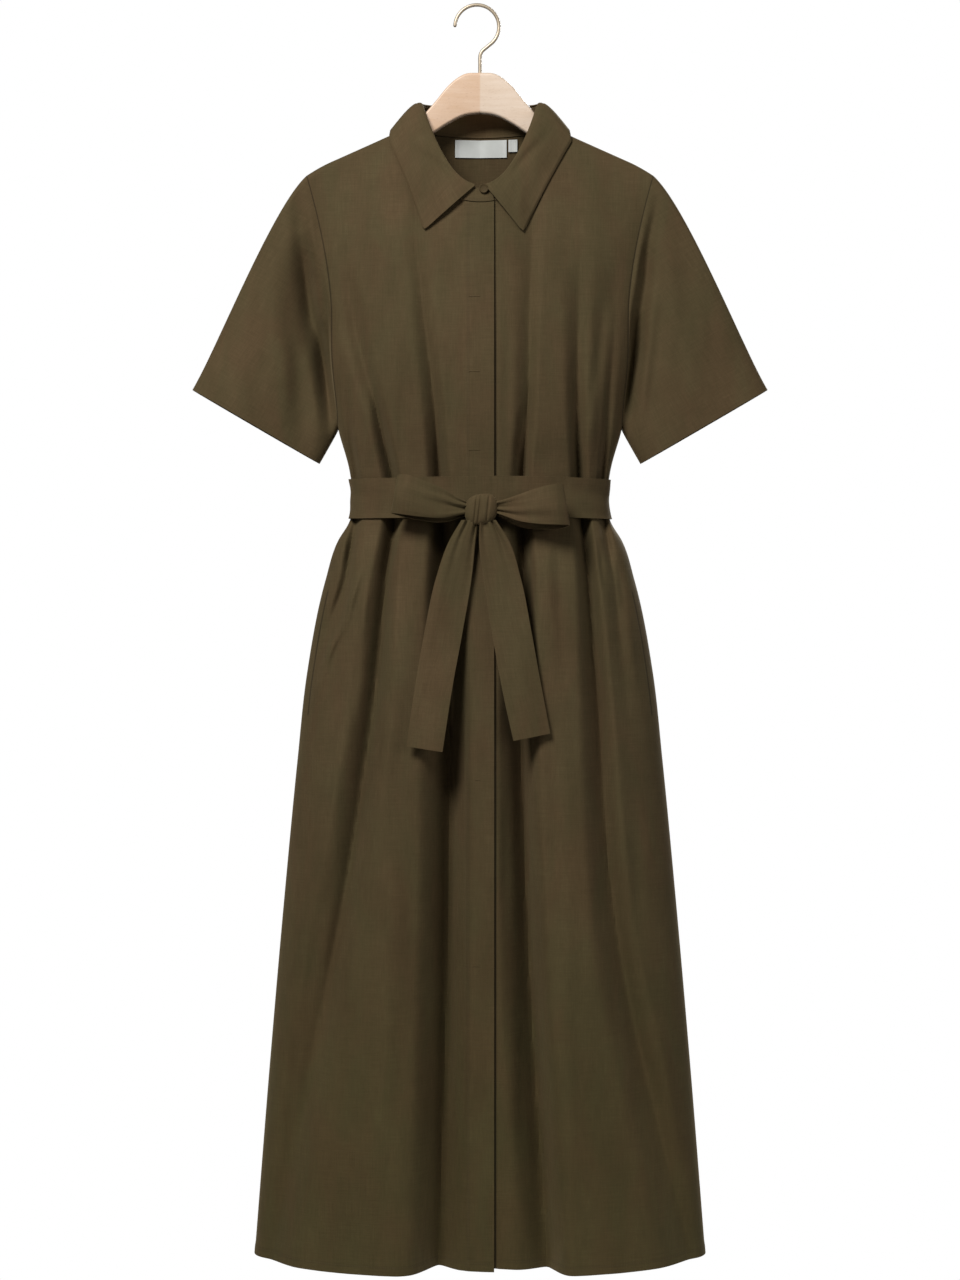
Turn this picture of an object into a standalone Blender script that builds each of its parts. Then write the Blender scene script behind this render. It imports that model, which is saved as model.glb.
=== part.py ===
"""Belted shirt dress hanging on a wooden hanger, as thin cloth walls.

Frame: metres, +Z up, the wearer faces -Y. The origin is where a rail touches the inside of the
hanger's hook, so the whole garment hangs below Z = 0. The cloth is a height field: the front lies
at Y = front_y(x, z) and the back at Y = back_y(x, z), each worked out from the section table and
the fold tables below. Table lengths are in millimetres and are turned into metres once, by MM.
"""

from collections import namedtuple
from math import cos, pi, radians, sin

import bpy
import numpy as np

MM = 0.001

# ---------------------------------------------------------------- driving sizes
WALL = 1.5 * MM            # cloth wall, with its seam allowances
SEAM_GAP = 0.3 * MM        # between two pieces that are sewn together
LAY_GAP = 0.4 * MM         # between a piece and what it lies on
FLY_GAP = 0.9 * MM         # between the two fronts where they lap
HEM_DIP = 6 * MM           # the hem hangs this much lower between the side seams
UNDERARM_Z = -474 * MM     # a deep, loose armhole
UNDERARM_X = 158.5 * MM
ARMHOLE_X = 165 * MM       # half the width between the armholes at chest height
SHOULDER_TIP_X = 193 * MM
NECK_X = 80 * MM           # half the width of the neckline
NECK_POINT_Z = -135.2 * MM
SHOULDER_SLOPE = 0.466     # drop for each unit outwards
FRONT_NECK_DROP = 91 * MM
BACK_NECK_DROP = 9 * MM
SHOULDER_ROUND = 8 * MM    # how the cloth rounds over the hanger's arm
SHOULDER_FALL = 75 * MM    # how soon the cloth leaves the arm and reaches its full depth
FOLD_FADE = 110 * MM       # the folds start this far below the shoulder line
SHOULDER_SWEEP = 14 * MM   # the hanger's arms reach this far forward at the shoulder tips
SIDE_POWER = 2.4           # squareness of the body's plan outline
FLY_HALF = 15.5 * MM       # each front runs this far past the centre
BELT_TOP_Z, BELT_FOOT_Z = -529 * MM, -574 * MM
HANGER_TIP_X = 185 * MM

Section = namedtuple("Section", "name z half_width front_depth back_depth")
SECTIONS = (
    Section("hem", -1400, 252.5, 112, 110),
    Section("calf", -1180, 235, 106, 104),
    Section("knee", -980, 217.5, 99, 97),
    Section("thigh", -845, 204.5, 93, 90),
    Section("hip", -745, 193.5, 86, 84),
    Section("high hip", -642, 173, 75, 73),
    Section("below belt", -598, 159, 67, 65),
    Section("belt foot", -576, 146, 62, 60),
    Section("waist", -551, 142.5, 60, 57),
    Section("above belt", -520, 146, 62, 59),
    Section("underarm", -474, 158.5, 69, 63),
    Section("bust", -423, 168, 73, 65),
    Section("chest", -350, 178, 71, 62),
    Section("across chest", -280, 188, 64, 55),
    Section("shoulder", -190, 205, 54, 46),
    Section("above shoulder", -100, 220, 50, 42),
)

# Folds are troughs that run down the cloth. Each row gives the trough's place, depth and half
# width at six levels.
LEVELS = np.array([-280, -470, -551, -700, -1000, -1392]) * MM
Fold = namedtuple("Fold", "name x depth width")
FRONT_FOLDS = (
    Fold(
        "right side tuck", (-150, -146, -137, -168, -190, -200),
        (0, 7, 8, 2, 0, 0), (20, 13, 12, 20, 30, 30),
    ),
    Fold(
        "right tuck", (-139, -113, -104, -116, -160, -226),
        (4, 13, 15, 14, 12, 5), (26, 17, 15, 26, 40, 44),
    ),
    Fold(
        "right valley", (-70, -56, -51.6, -54, -53, -66),
        (6, 12, 15, 17, 19, 20), (24, 17, 16, 26, 32, 34),
    ),
    Fold(
        "centre recess", (0, 0, 0, -4, -6, 2),
        (0, 0, 1, 9, 25, 41), (60, 60, 60, 92, 104, 112),
    ),
    Fold(
        "left valley", (53, 50, 47, 43, 36, 50),
        (6, 11, 14, 16, 17, 17), (24, 17, 16, 24, 30, 34),
    ),
    Fold(
        "left small tuck", (82, 77, 74, 80, 90, 100),
        (0, 3, 6, 2, 0, 0), (20, 12, 12, 16, 20, 20),
    ),
    Fold(
        "left tuck", (113, 108, 110, 115, 140, 214),
        (4, 13, 15, 13, 11, 5), (26, 17, 15, 26, 40, 44),
    ),
    Fold(
        "left side tuck", (146, 141, 134, 160, 185, 200),
        (0, 7, 8, 2, 0, 0), (20, 13, 12, 20, 30, 30),
    ),
)
BACK_FOLDS = (
    Fold(
        "side tuck, left", (-150, -140, -132, -160, -185, -200),
        (0, 6, 8, 2, 0, 0), (20, 14, 13, 20, 30, 30),
    ),
    Fold(
        "outer tuck, left", (-118, -100, -96, -112, -146, -182),
        (3, 10, 14, 14, 14, 16), (28, 20, 17, 28, 42, 50),
    ),
    Fold(
        "inner tuck, left", (-58, -52, -47, -46, -54, -70),
        (4, 9, 13, 17, 22, 28), (26, 20, 17, 28, 42, 52),
    ),
    Fold(
        "middle tuck", (4, 2, -2, 4, 8, 6),
        (2, 6, 9, 10, 10, 13), (26, 20, 16, 26, 38, 44),
    ),
    Fold(
        "inner tuck, right", (66, 54, 50, 56, 64, 80),
        (4, 9, 14, 18, 23, 30), (26, 20, 17, 28, 44, 54),
    ),
    Fold(
        "outer tuck, right", (120, 104, 99, 108, 136, 176),
        (3, 10, 13, 13, 14, 15), (28, 20, 17, 28, 42, 48),
    ),
    Fold(
        "side tuck, right", (150, 143, 134, 160, 185, 200),
        (0, 6, 8, 2, 0, 0), (20, 14, 13, 20, 30, 30),
    ),
)


# ---------------------------------------------------------------- curves through tables
def through(at, knots, values):
    """A smooth curve through the table's values: cubic between knots, flat past the ends."""
    knots = np.asarray(knots, float)
    values = np.asarray(values, float)
    order = np.argsort(knots)
    knots, values = knots[order], values[order]
    at = np.clip(at, knots[0], knots[-1])
    slopes = np.gradient(values, knots)
    i = np.clip(np.searchsorted(knots, at) - 1, 0, len(knots) - 2)
    span = knots[i + 1] - knots[i]
    t = (at - knots[i]) / span
    start = (1 + 2 * t) * (1 - t) ** 2 * values[i] + t * (1 - t) ** 2 * span * slopes[i]
    end = t * t * (3 - 2 * t) * values[i + 1] - t * t * (1 - t) * span * slopes[i + 1]
    return start + end


def section(z, column):
    """One column of the section table at height z, in metres."""
    heights = [row.z * MM for row in SECTIONS]
    return through(z, heights, [getattr(row, column) * MM for row in SECTIONS])


def ease(t):
    """0 to 1 with no slope at either end."""
    t = np.clip(t, 0, 1)
    return t * t * (3 - 2 * t)


# ---------------------------------------------------------------- the body's surface
def shoulder_z(x):
    """Height of the shoulder line, run on past the neck and past the tip."""
    return NECK_POINT_Z - SHOULDER_SLOPE * (np.abs(x) - NECK_X)


def shoulder_y(x):
    """The shoulder seam lies on the hanger's arm, which sweeps forward."""
    return -SHOULDER_SWEEP * (np.abs(x) / SHOULDER_TIP_X) ** 2


def armhole_x(z):
    """Half the width between the armholes: straight at the chest, flaring to the shoulder tip and
    drawing in to the underarm."""
    start = -345 * MM
    share = np.clip((z - start) / (shoulder_z(SHOULDER_TIP_X) - start), 0, 1)
    flare = (SHOULDER_TIP_X - ARMHOLE_X) * share**1.6
    draw = (ARMHOLE_X - UNDERARM_X) * (1 - ease((z - UNDERARM_Z) / (90 * MM)))
    return ARMHOLE_X + flare - draw


def fold_depth(x, z, folds):
    """How far the cloth lies inside its smooth outline, summed over the troughs."""
    edge = np.clip(np.abs(x) / section(z, "half_width"), 0, 1)
    total = np.zeros(np.broadcast(x, z).shape)
    for fold in folds:
        middle = through(z, LEVELS, fold.x) * MM
        depth = through(z, LEVELS, fold.depth) * MM
        width = through(z, LEVELS, fold.width) * MM
        share = np.clip(np.abs(x - middle) / width, 0, 1)
        total = total + np.maximum(depth, 0) * (1 - share**2) ** 2
    return total * (1 - edge**8) * ease((shoulder_z(x) - z) / FOLD_FADE)


def bare_depth(x, z, column):
    """Distance from the shoulder plane to the smooth cloth: it rounds over the hanger's arm, then
    falls away to the depth of the body's plan outline."""
    drop = np.maximum(shoulder_z(x) - z, 0)
    edge = np.clip(np.abs(x) / section(z, "half_width"), 0, 1)
    full = section(z, column) * (1 - edge**SIDE_POWER) ** 0.5
    over = SHOULDER_ROUND * np.sqrt(1 - (1 - np.clip(drop / SHOULDER_ROUND, 0, 1)) ** 2)
    fallen = 1 - np.exp(-drop / SHOULDER_FALL)
    return np.minimum(over, full) + np.maximum(full - SHOULDER_ROUND, 0) * fallen


def plane_y(x, z):
    """The plane that front and back meet in: forward at the shoulders, straight lower down."""
    return shoulder_y(x) * np.exp(-np.maximum(shoulder_z(x) - z, 0) / SHOULDER_FALL)


def front_y(x, z):
    return plane_y(x, z) - bare_depth(x, z, "front_depth") + fold_depth(x, z, FRONT_FOLDS)


def back_y(x, z):
    return plane_y(x, z) + bare_depth(x, z, "back_depth") - fold_depth(x, z, BACK_FOLDS)


# ---------------------------------------------------------------- grids and walls
def normals_of(grid, closed=False):
    """Unit normals of a grid of points: the cross product of its two directions."""
    if closed:
        run = np.roll(grid, -1, axis=1) - np.roll(grid, 1, axis=1)
    else:
        run = np.gradient(grid, axis=1)
    normal = np.cross(run, np.gradient(grid, axis=0))
    return normal / np.maximum(np.linalg.norm(normal, axis=2, keepdims=True), 1e-12)


def wall_mesh(name, outer, inner, closed=False):
    """A closed wall between two grids of rows and columns, with rims where the grids end."""
    rows, columns = outer.shape[:2]
    points = np.concatenate([outer.reshape(-1, 3), inner.reshape(-1, 3)])
    back = rows * columns
    last = columns if closed else columns - 1
    faces = []
    for r in range(rows - 1):
        for c in range(last):
            a, b = r * columns + c, r * columns + (c + 1) % columns
            faces.append((a, b, b + columns, a + columns))
            faces.append((back + a, back + a + columns, back + b + columns, back + b))
    for c in range(last):
        a, b = c, (c + 1) % columns
        faces.append((a, back + a, back + b, b))
        a, b = a + (rows - 1) * columns, b + (rows - 1) * columns
        faces.append((b, back + b, back + a, a))
    if not closed:
        for r in range(rows - 1):
            a, b = r * columns, (r + 1) * columns
            faces.append((b, back + b, back + a, a))
            a, b = a + columns - 1, b + columns - 1
            faces.append((a, back + a, back + b, b))
    mesh = bpy.data.meshes.new(name)
    mesh.from_pydata([tuple(p) for p in points], [], faces)
    return mesh


def signed_volume(mesh):
    mesh.calc_loop_triangles()
    corners = np.array([[mesh.vertices[v].co[:] for v in t.vertices] for t in mesh.loop_triangles])
    return np.linalg.det(corners).sum() / 6


def add_object(name, mesh, material, smooth=True):
    """Links the mesh as an object, facing out, with its material."""
    if signed_volume(mesh) < 0:
        mesh.flip_normals()
    if smooth:
        mesh.shade_smooth()
        mesh.set_sharp_from_angle(angle=radians(50))
    mesh.materials.append(material)
    obj = bpy.data.objects.new(name, mesh)
    bpy.context.scene.collection.objects.link(obj)
    return obj


def cloth_wall(name, outer, inner, material, closed=False):
    return add_object(name, wall_mesh(name, outer, inner, closed), material)


def material_of(name, colour, roughness, metallic=0.0):
    material = bpy.data.materials.new(name)
    material.use_nodes = True
    shader = material.node_tree.nodes["Principled BSDF"]
    shader.inputs["Base Color"].default_value = (*colour, 1)
    shader.inputs["Roughness"].default_value = roughness
    shader.inputs["Metallic"].default_value = metallic
    return material


# ---------------------------------------------------------------- fronts and back
LOWER_ROWS = np.array([-1394, -1335, -1220, -1100, -995, -915, -845, -780, -722, -668, -626,
                       -599, -580, -562, -540, -518, -496, -474]) * MM
UPPER_SHARES = np.array([0, 0.07, 0.17, 0.3, 0.45, 0.62, 0.78, 0.89, 0.95, 0.978, 0.99, 0.9965, 1.0])
FRONT_COLUMNS, NECK_COLUMNS, FLY_COLUMNS = 17, 7, 2
BACK_SHOULDER_COLUMNS, BACK_NECK_COLUMNS = 8, 6


def coons(bottom, top, left, right, s, t):
    """A patch between four edges: each edge is a function from 0 to 1 that gives (x, z)."""
    s, t = s[None, :, None], t[:, None, None]
    rows = (1 - t) * bottom[None] + t * top[None]
    columns = (1 - s) * left[:, None] + s * right[:, None]
    corners = ((1 - s) * (1 - t) * bottom[0] + s * (1 - t) * bottom[-1]
               + (1 - s) * t * top[0] + s * t * top[-1])
    return rows + columns - corners


def neck_z(x):
    """Height of the front neckline at a distance x from the centre."""
    return NECK_POINT_Z - FRONT_NECK_DROP * np.sqrt(1 - (x / NECK_X) ** 2)


def gathered_to_end(count, power=1.7):
    """0 to 1 with the steps closing up towards 1."""
    return 1 - (1 - np.linspace(0, 1, count)) ** power


def dipped(outline):
    """The same grid with its hem row lowered between the side seams."""
    edge = outline[0, :, 0] / section(LOWER_ROWS[0], "half_width")
    outline[0, :, 1] -= HEM_DIP * (1 - np.abs(edge) ** 3)
    return outline


def neck_angles():
    """The angles of the neckline's points, from the centre front to the centre back."""
    first = np.arcsin(FLY_HALF / NECK_X)
    front = first + (pi / 2 - first) * gathered_to_end(NECK_COLUMNS)
    back = pi - pi / 2 * gathered_to_end(BACK_NECK_COLUMNS)[::-1]
    return front, back


def front_outline():
    """The (x, z) grid of the front on the +X side: two columns of fly, then the panel itself."""
    s = np.linspace(0, 1, FRONT_COLUMNS)
    share = UPPER_SHARES
    z = LOWER_ROWS[:, None]
    width = section(z, "half_width")
    start = np.arcsin(FLY_HALF / width)
    across = width * np.sin(start + (pi / 2 - start) * s)
    lower = np.stack([across, z + 0 * across], -1)
    angle = neck_angles()[0]
    neck = np.stack([NECK_X * np.sin(angle), neck_z(NECK_X * np.sin(angle))], -1)
    across = np.linspace(NECK_X, SHOULDER_TIP_X, FRONT_COLUMNS - NECK_COLUMNS + 1)[1:]
    shoulder = np.stack([across, shoulder_z(across)], -1)
    fly_z = UNDERARM_Z + (neck_z(FLY_HALF) - UNDERARM_Z) * share
    left = np.stack([np.full_like(share, FLY_HALF), fly_z], -1)
    right_z = UNDERARM_Z + (shoulder[-1, 1] - UNDERARM_Z) * share
    right = np.stack([armhole_x(right_z), right_z], -1)
    upper = coons(lower[-1], np.concatenate([neck, shoulder]), left, right, s, share)
    panel = np.concatenate([lower, upper[1:]])
    centre_z = UNDERARM_Z + (neck_z(0) - UNDERARM_Z) * share
    edge = np.stack([np.full_like(panel[:, 0, 1], -FLY_HALF), panel[:, 0, 1]], -1)
    centre = np.stack([0 * edge[:, 0], np.concatenate([LOWER_ROWS, centre_z[1:]])], -1)
    return dipped(np.concatenate([edge[:, None], centre[:, None], panel], axis=1))


def back_outline():
    """The (x, z) grid of the whole back, from one side seam to the other."""
    shoulder_columns = BACK_SHOULDER_COLUMNS
    s = np.linspace(-1, 1, 2 * shoulder_columns + 2 * BACK_NECK_COLUMNS - 1)
    z = LOWER_ROWS[:, None]
    across = section(z, "half_width") * np.sin(pi / 2 * s)
    lower = np.stack([across, z + 0 * across], -1)
    share = UPPER_SHARES
    half = pi - neck_angles()[1][::-1]
    angle = np.concatenate([-half[:0:-1], half])
    neck = np.stack([NECK_X * np.sin(angle), NECK_POINT_Z - BACK_NECK_DROP * np.cos(angle)], -1)
    across = np.linspace(SHOULDER_TIP_X, NECK_X, shoulder_columns + 1)[:-1]
    shoulder = np.stack([across, shoulder_z(across)], -1)
    top = np.concatenate([shoulder * (-1, 1), neck, shoulder[::-1]])
    side_z = UNDERARM_Z + (shoulder[0, 1] - UNDERARM_Z) * share
    right = np.stack([armhole_x(side_z), side_z], -1)
    upper = coons(lower[-1], top, right * (-1, 1), right, (s + 1) / 2, share)
    return dipped(np.concatenate([lower, upper[1:]]))


def lift(outline, surface, side=1):
    """Puts an (x, z) grid onto a surface Y = surface(x, z). side -1 mirrors it."""
    x, z = outline[..., 0] * side, outline[..., 1]
    return np.stack([x, surface(x, z), z], -1)


def thickness_step(grid, outward, seam_rows=(), seam_columns=()):
    """The step from the outer to the inner face. Along a seam it stays in the seam's own plane."""
    normal = normals_of(grid)
    if (normal[..., 1] * outward).sum() < 0:
        normal = -normal
    for row, columns in seam_rows:
        normal[row, columns, 1] = 0
    for rows, column in seam_columns:
        normal[rows, column, 1] = 0
    normal /= np.linalg.norm(normal, axis=2, keepdims=True)
    return -WALL * normal


def front_grids(side, over):
    """Outer and inner faces of one front. The front that lies over the other at the centre stands
    out by a wall and a gap over the width of the fly."""
    outer = lift(front_outline(), front_y, side)
    rows = len(LOWER_ROWS)
    neck_point = FLY_COLUMNS + NECK_COLUMNS - 1
    if over:
        fly = slice(0, FLY_COLUMNS + 1)
        facing = np.abs(normals_of(outer)[:, fly, 1])
        outer[:, fly, 1] -= (WALL + FLY_GAP) / facing
    outer[:rows, -1, 1] -= SEAM_GAP / 2
    outer[-1, neck_point:, 1] -= SEAM_GAP / 2
    step = thickness_step(outer, -1, [(-1, slice(neck_point, None))], [(slice(0, rows), -1)])
    return outer, outer + step


def back_grids():
    outer = lift(back_outline(), back_y)
    rows = len(LOWER_ROWS)
    shoulders = [slice(0, BACK_SHOULDER_COLUMNS + 1), slice(-BACK_SHOULDER_COLUMNS - 1, None)]
    for column in (0, -1):
        outer[:rows, column, 1] += SEAM_GAP / 2
    for columns in shoulders:
        outer[-1, columns, 1] += SEAM_GAP / 2
    step = thickness_step(
        outer, 1, [(-1, columns) for columns in shoulders], [(slice(0, rows), 0), (slice(0, rows), -1)]
    )
    return outer, outer + step


# ---------------------------------------------------------------- sleeves
SLEEVE_HEM_OUTER = np.array([321, -10, -430]) * MM   # the folded top edge of the sleeve, at its hem
SLEEVE_HEM_INNER = np.array([179.5, -4, -512]) * MM   # the underarm seam, at its hem
SLEEVE_HEM_HALF = 25 * MM                            # half the hem's opening, front to back
SLEEVE_ROWS = 8
CAP_DIRECTION = np.array([0.75, 0, -0.66])
UNDERARM_DIRECTION = np.array([0.35, 0, -0.8])


def armhole_loop():
    """The armhole on the +X side, from the shoulder tip down the front and up the back."""
    z = UNDERARM_Z + (shoulder_z(SHOULDER_TIP_X) - UNDERARM_Z) * UPPER_SHARES
    x = armhole_x(z)
    front = np.stack([x, front_y(x, z), z], -1)
    back = np.stack([x, back_y(x, z), z], -1)
    front[0, 1] = 0
    return np.concatenate([front[::-1], back[1:-1]])


def sleeve_grid(loop, angles):
    """Each line runs from the armhole to the hem as a cubic that leaves the armhole along the
    shoulder at the top and straight down at the underarm. The hem is a flat ellipse."""
    down = (1 - np.cos(angles)) / 2
    middle = (SLEEVE_HEM_OUTER + SLEEVE_HEM_INNER) / 2
    reach = (SLEEVE_HEM_OUTER - SLEEVE_HEM_INNER) / 2
    across = np.array([0, -SLEEVE_HEM_HALF, 0])
    hem = middle + np.cos(angles)[:, None] * reach + np.sin(angles)[:, None] * across
    length = np.linalg.norm(hem - loop, axis=1, keepdims=True)
    leave = (1 - down)[:, None] * CAP_DIRECTION + down[:, None] * UNDERARM_DIRECTION
    leave = leave + np.sin(angles)[:, None] * np.array([0, -0.25, 0])
    axis = np.cross(reach, across)
    axis = axis / np.linalg.norm(axis) * np.sign(-axis[2])
    v = np.linspace(0, 1, SLEEVE_ROWS)[:, None, None]
    start = (1 + 2 * v) * (1 - v) ** 2 * loop + v * (1 - v) ** 2 * length * 0.55 * leave
    end = v * v * (3 - 2 * v) * hem - v * v * (1 - v) * length * 0.6 * axis
    return start + end


def sleeve_grids(side):
    loop = armhole_loop()
    loop[:, 0] += SEAM_GAP
    rows = len(UPPER_SHARES)
    front_angles = pi * (1 - UPPER_SHARES[::-1])
    angles = np.concatenate([front_angles, pi + pi * UPPER_SHARES[1:rows - 1]])
    outer = sleeve_grid(loop, angles)
    normal = normals_of(outer, closed=True)
    centre = outer.mean(axis=1, keepdims=True)
    if ((outer - centre) * normal).sum() < 0:
        normal = -normal
    inward = -normal
    inward[0, :, 0] = np.maximum(inward[0, :, 0], 0)
    inward[0] /= np.linalg.norm(inward[0], axis=1, keepdims=True)
    inner = outer + WALL * inward
    mirror = np.array([side, 1, 1])
    return outer * mirror, inner * mirror


# ---------------------------------------------------------------- collar, stand and button
ROLL_X = 64 * MM            # half the width of the collar's fold line
ROLL_SIDE_Z, ROLL_FRONT_Z, ROLL_BACK_Z = -107.5 * MM, -201 * MM, -108 * MM
ROLL_FRONT_Y, ROLL_BACK_Y = -44 * MM, 35 * MM
COLLAR_FROM = radians(5)    # where the collar's front edge leaves the fold line
STAND_ROWS, COLLAR_ROWS = 3, 5
Tip = namedtuple("Tip", "x z")
COLLAR_TIPS = {-1: Tip(-62.7, -258), 1: Tip(48.3, -260)}   # by the side of X that it lies on
COLLAR_SIDE_X = 102 * MM
COLLAR_BACK_Z = -166 * MM
COLLAR_FRONT_COLUMNS, COLLAR_TURN_COLUMNS, COLLAR_BACK_COLUMNS = 8, 4, 7
COLLAR_LIFT = 1.6 * MM      # the fall's edge stands this far off the body
COLLAR_BULGE = 3.2 * MM     # and its middle this much further


def neck_line(angle):
    """The neckline: angle 0 at the centre front, pi at the centre back, either sign."""
    x = NECK_X * np.sin(angle)
    forward = np.cos(angle)
    z = NECK_POINT_Z - np.where(forward > 0, FRONT_NECK_DROP * forward, -BACK_NECK_DROP * forward)
    y = np.where(forward > 0, front_y(x, z), back_y(x, z))
    side = np.exp(-(forward / 0.12) ** 2)
    return np.stack([x, y * (1 - side) + plane_y(x, z) * side, z], -1)


def roll_line(angle):
    """The fold line along the top of the stand."""
    forward = np.cos(angle)
    ahead, behind = np.clip(forward, 0, 1), np.clip(-forward, 0, 1)
    z = ROLL_SIDE_Z + (ROLL_FRONT_Z - ROLL_SIDE_Z) * ahead**1.5 + (ROLL_BACK_Z - ROLL_SIDE_Z) * behind
    return np.stack([ROLL_X * np.sin(angle), ROLL_FRONT_Y * ahead + ROLL_BACK_Y * behind, z], -1)


def stand_grids():
    """The stand rises from the neckline to the fold line. Its -X end lies over its +X end."""
    front, back = neck_angles()
    half = np.concatenate([[0], front, back[1:]])
    past = front[0]
    angle = np.concatenate([[-past], half, 2 * pi - half[-2::-1], [2 * pi + past]])
    v = np.linspace(0, 1, STAND_ROWS)[:, None, None]
    foot, top = neck_line(angle), roll_line(angle)
    foot[:, 2] += SEAM_GAP + 0.3 * MM
    foot[:, 0] *= 1 - 0.6 * MM / NECK_X
    outer = foot + (top - foot) * v
    normal = -normals_of(outer)
    if ((outer - outer.mean(axis=1, keepdims=True)) * normal).sum() < 0:
        normal = -normal
    over = ease((angle - 2 * pi + 2.2 * past) / past)
    outer = outer + normal * (over * (WALL + LAY_GAP))[None, :, None]
    return outer, outer - normal * WALL


def half_collar(side):
    """The fold line and the outer edge of half the fall, from its front edge to the centre back.
    The outer edge runs straight from the tip to the shoulder, goes over the shoulder seam as part
    of an ellipse, and curves round the back."""
    tip = np.array(COLLAR_TIPS[side]) * MM
    clear = WALL + LAY_GAP + COLLAR_LIFT
    foot = np.array([COLLAR_SIDE_X, shoulder_z(COLLAR_SIDE_X) - SHOULDER_ROUND])
    f = np.linspace(1, 0, COLLAR_FRONT_COLUMNS)
    front = foot + (tip * (side, 1) - foot) * f[:, None]
    front_depth = front_y(side * front[:, 0], front[:, 1]) - clear
    turn = np.linspace(-pi / 2, pi / 2, COLLAR_TURN_COLUMNS + 2)[1:-1]
    reach_back = back_y(foot[0], foot[1]) + clear
    middle = plane_y(*foot)
    turn_reach = np.where(turn < 0, middle - front_depth[-1], reach_back - middle)
    turn_y = middle + turn_reach * np.sin(turn)
    turn_z = foot[1] + (SHOULDER_ROUND + clear * 1.1) * np.cos(turn)
    g = np.linspace(0, pi / 2, COLLAR_BACK_COLUMNS)
    back_x = COLLAR_SIDE_X * np.cos(g)
    back_z = foot[1] + (COLLAR_BACK_Z - foot[1]) * np.sin(g)
    x = np.concatenate([front[:, 0], np.full_like(turn, COLLAR_SIDE_X), back_x])
    y = np.concatenate([front_depth, turn_y, back_y(back_x, back_z) + clear])
    z = np.concatenate([front[:, 1], turn_z, back_z])
    angle = np.concatenate([
        np.linspace(COLLAR_FROM, radians(66), COLLAR_FRONT_COLUMNS),
        np.linspace(radians(66), radians(112), COLLAR_TURN_COLUMNS + 2)[1:-1],
        np.linspace(radians(112), pi, COLLAR_BACK_COLUMNS),
    ])
    roll = roll_line(angle)
    outwards = np.stack([np.sin(angle), -np.cos(angle), 0 * angle], -1)
    ahead = np.clip(np.cos(angle), 0, 1)[:, None] ** 4
    roll = roll + outwards * (WALL + LAY_GAP + 1.4 * MM + ahead * 2.6 * MM)
    roll[:, 2] += 1.6 * MM
    return roll * (side, 1, 1), np.stack([side * x, y, z], -1), outwards * (side, 1, 1)


def collar_grids():
    """The fall turns over at the fold line and lies on the body, a little clear of it."""
    left, right = half_collar(1), half_collar(-1)
    roll, edge, outwards = (np.concatenate([a, b[-2::-1]]) for a, b in zip(left, right))
    v = np.linspace(0, 1, COLLAR_ROWS)[:, None, None]
    outer = roll + (edge - roll) * v + COLLAR_BULGE * np.sin(pi * v**0.7) * outwards
    normal = normals_of(outer)
    if ((outer - outer.mean(axis=1, keepdims=True)) * normal).sum() < 0:
        normal = -normal
    return outer, outer - normal * WALL


def neck_button(material):
    """The one button that shows, at the front of the stand."""
    radius, thick = 5.2 * MM, 2.2 * MM
    bpy.ops.mesh.primitive_cylinder_add(vertices=20, radius=radius, depth=thick)
    button = bpy.context.object
    button.name = "neck_button"
    place = (neck_line(np.array([0.0]))[0] + roll_line(np.array([0.0]))[0]) / 2
    button.rotation_euler = (radians(90), 0, 0)
    button.location = (4 * MM, place[1] - WALL - 2 * LAY_GAP - thick / 2 - 0.6 * MM, place[2] + 3 * MM)
    bevel = button.modifiers.new("Round", "BEVEL")
    bevel.width, bevel.segments = 0.6 * MM, 2
    button.data.materials.append(material)
    return button


# ---------------------------------------------------------------- labels and pocket bags
def patch_grid(x_from, x_to, z_from, z_to, surface, away, count=(5, 3)):
    """A patch that follows a surface, moved in or out by away."""
    x, z = np.meshgrid(np.linspace(x_from, x_to, count[0]), np.linspace(z_from, z_to, count[1]))
    return np.stack([x, surface(x, z) + away, z], -1)


def labels(material):
    """The blank woven label and its size tab, sewn inside the back neck."""
    thick = 0.8 * MM
    for name, x_from, x_to, z_from, z_to, further in (
        ("neck_label", -28, 30, -165, -146, 0),
        ("size_tab", 32, 42, -159, -146, 0.5),
    ):
        inside = WALL + LAY_GAP + (0.5 + further) * MM
        outer = patch_grid(x_from * MM, x_to * MM, z_from * MM, z_to * MM, back_y, -inside)
        inner = outer - (0, thick, 0)
        cloth_wall(name, outer, inner, material)


POCKET_TOP_Z, POCKET_FOOT_Z = -618 * MM, -842 * MM
POCKET_COLUMNS, POCKET_ROWS = 7, 7


def pocket_bag(side, material):
    """A bag that hangs inside the front from the side seam. It follows the front's inner face, and
    its foot is rounded."""
    s = np.linspace(0.52, 0.965, POCKET_COLUMNS)[None, :]
    v = np.linspace(0, 1, POCKET_ROWS)[:, None]
    inwards = (s - s.min()) / (s.max() - s.min())
    foot = POCKET_FOOT_Z + 70 * MM * (1 - inwards) ** 2 + 18 * MM * inwards**4
    top = POCKET_TOP_Z - 26 * MM * (1 - inwards) ** 2
    z = foot + (top - foot) * v
    x = side * section(z, "half_width") * np.sin(pi / 2 * s)
    outer = np.stack([x, front_y(x, z), z], -1)
    normal = normals_of(outer)
    if normal[..., 1].sum() > 0:
        normal = -normal
    face = outer - normal * (WALL + 1.7 * MM)
    return cloth_wall(f"pocket_bag_{'left' if side > 0 else 'right'}", face, face - normal * WALL, material)


# ---------------------------------------------------------------- belt and bow
BELT_COLUMNS = 44
KNOT_CENTRE = np.array([2, -76.9, -564.5]) * MM
KNOT_SIZE = np.array([18, 11.5, 18.2]) * MM


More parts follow.
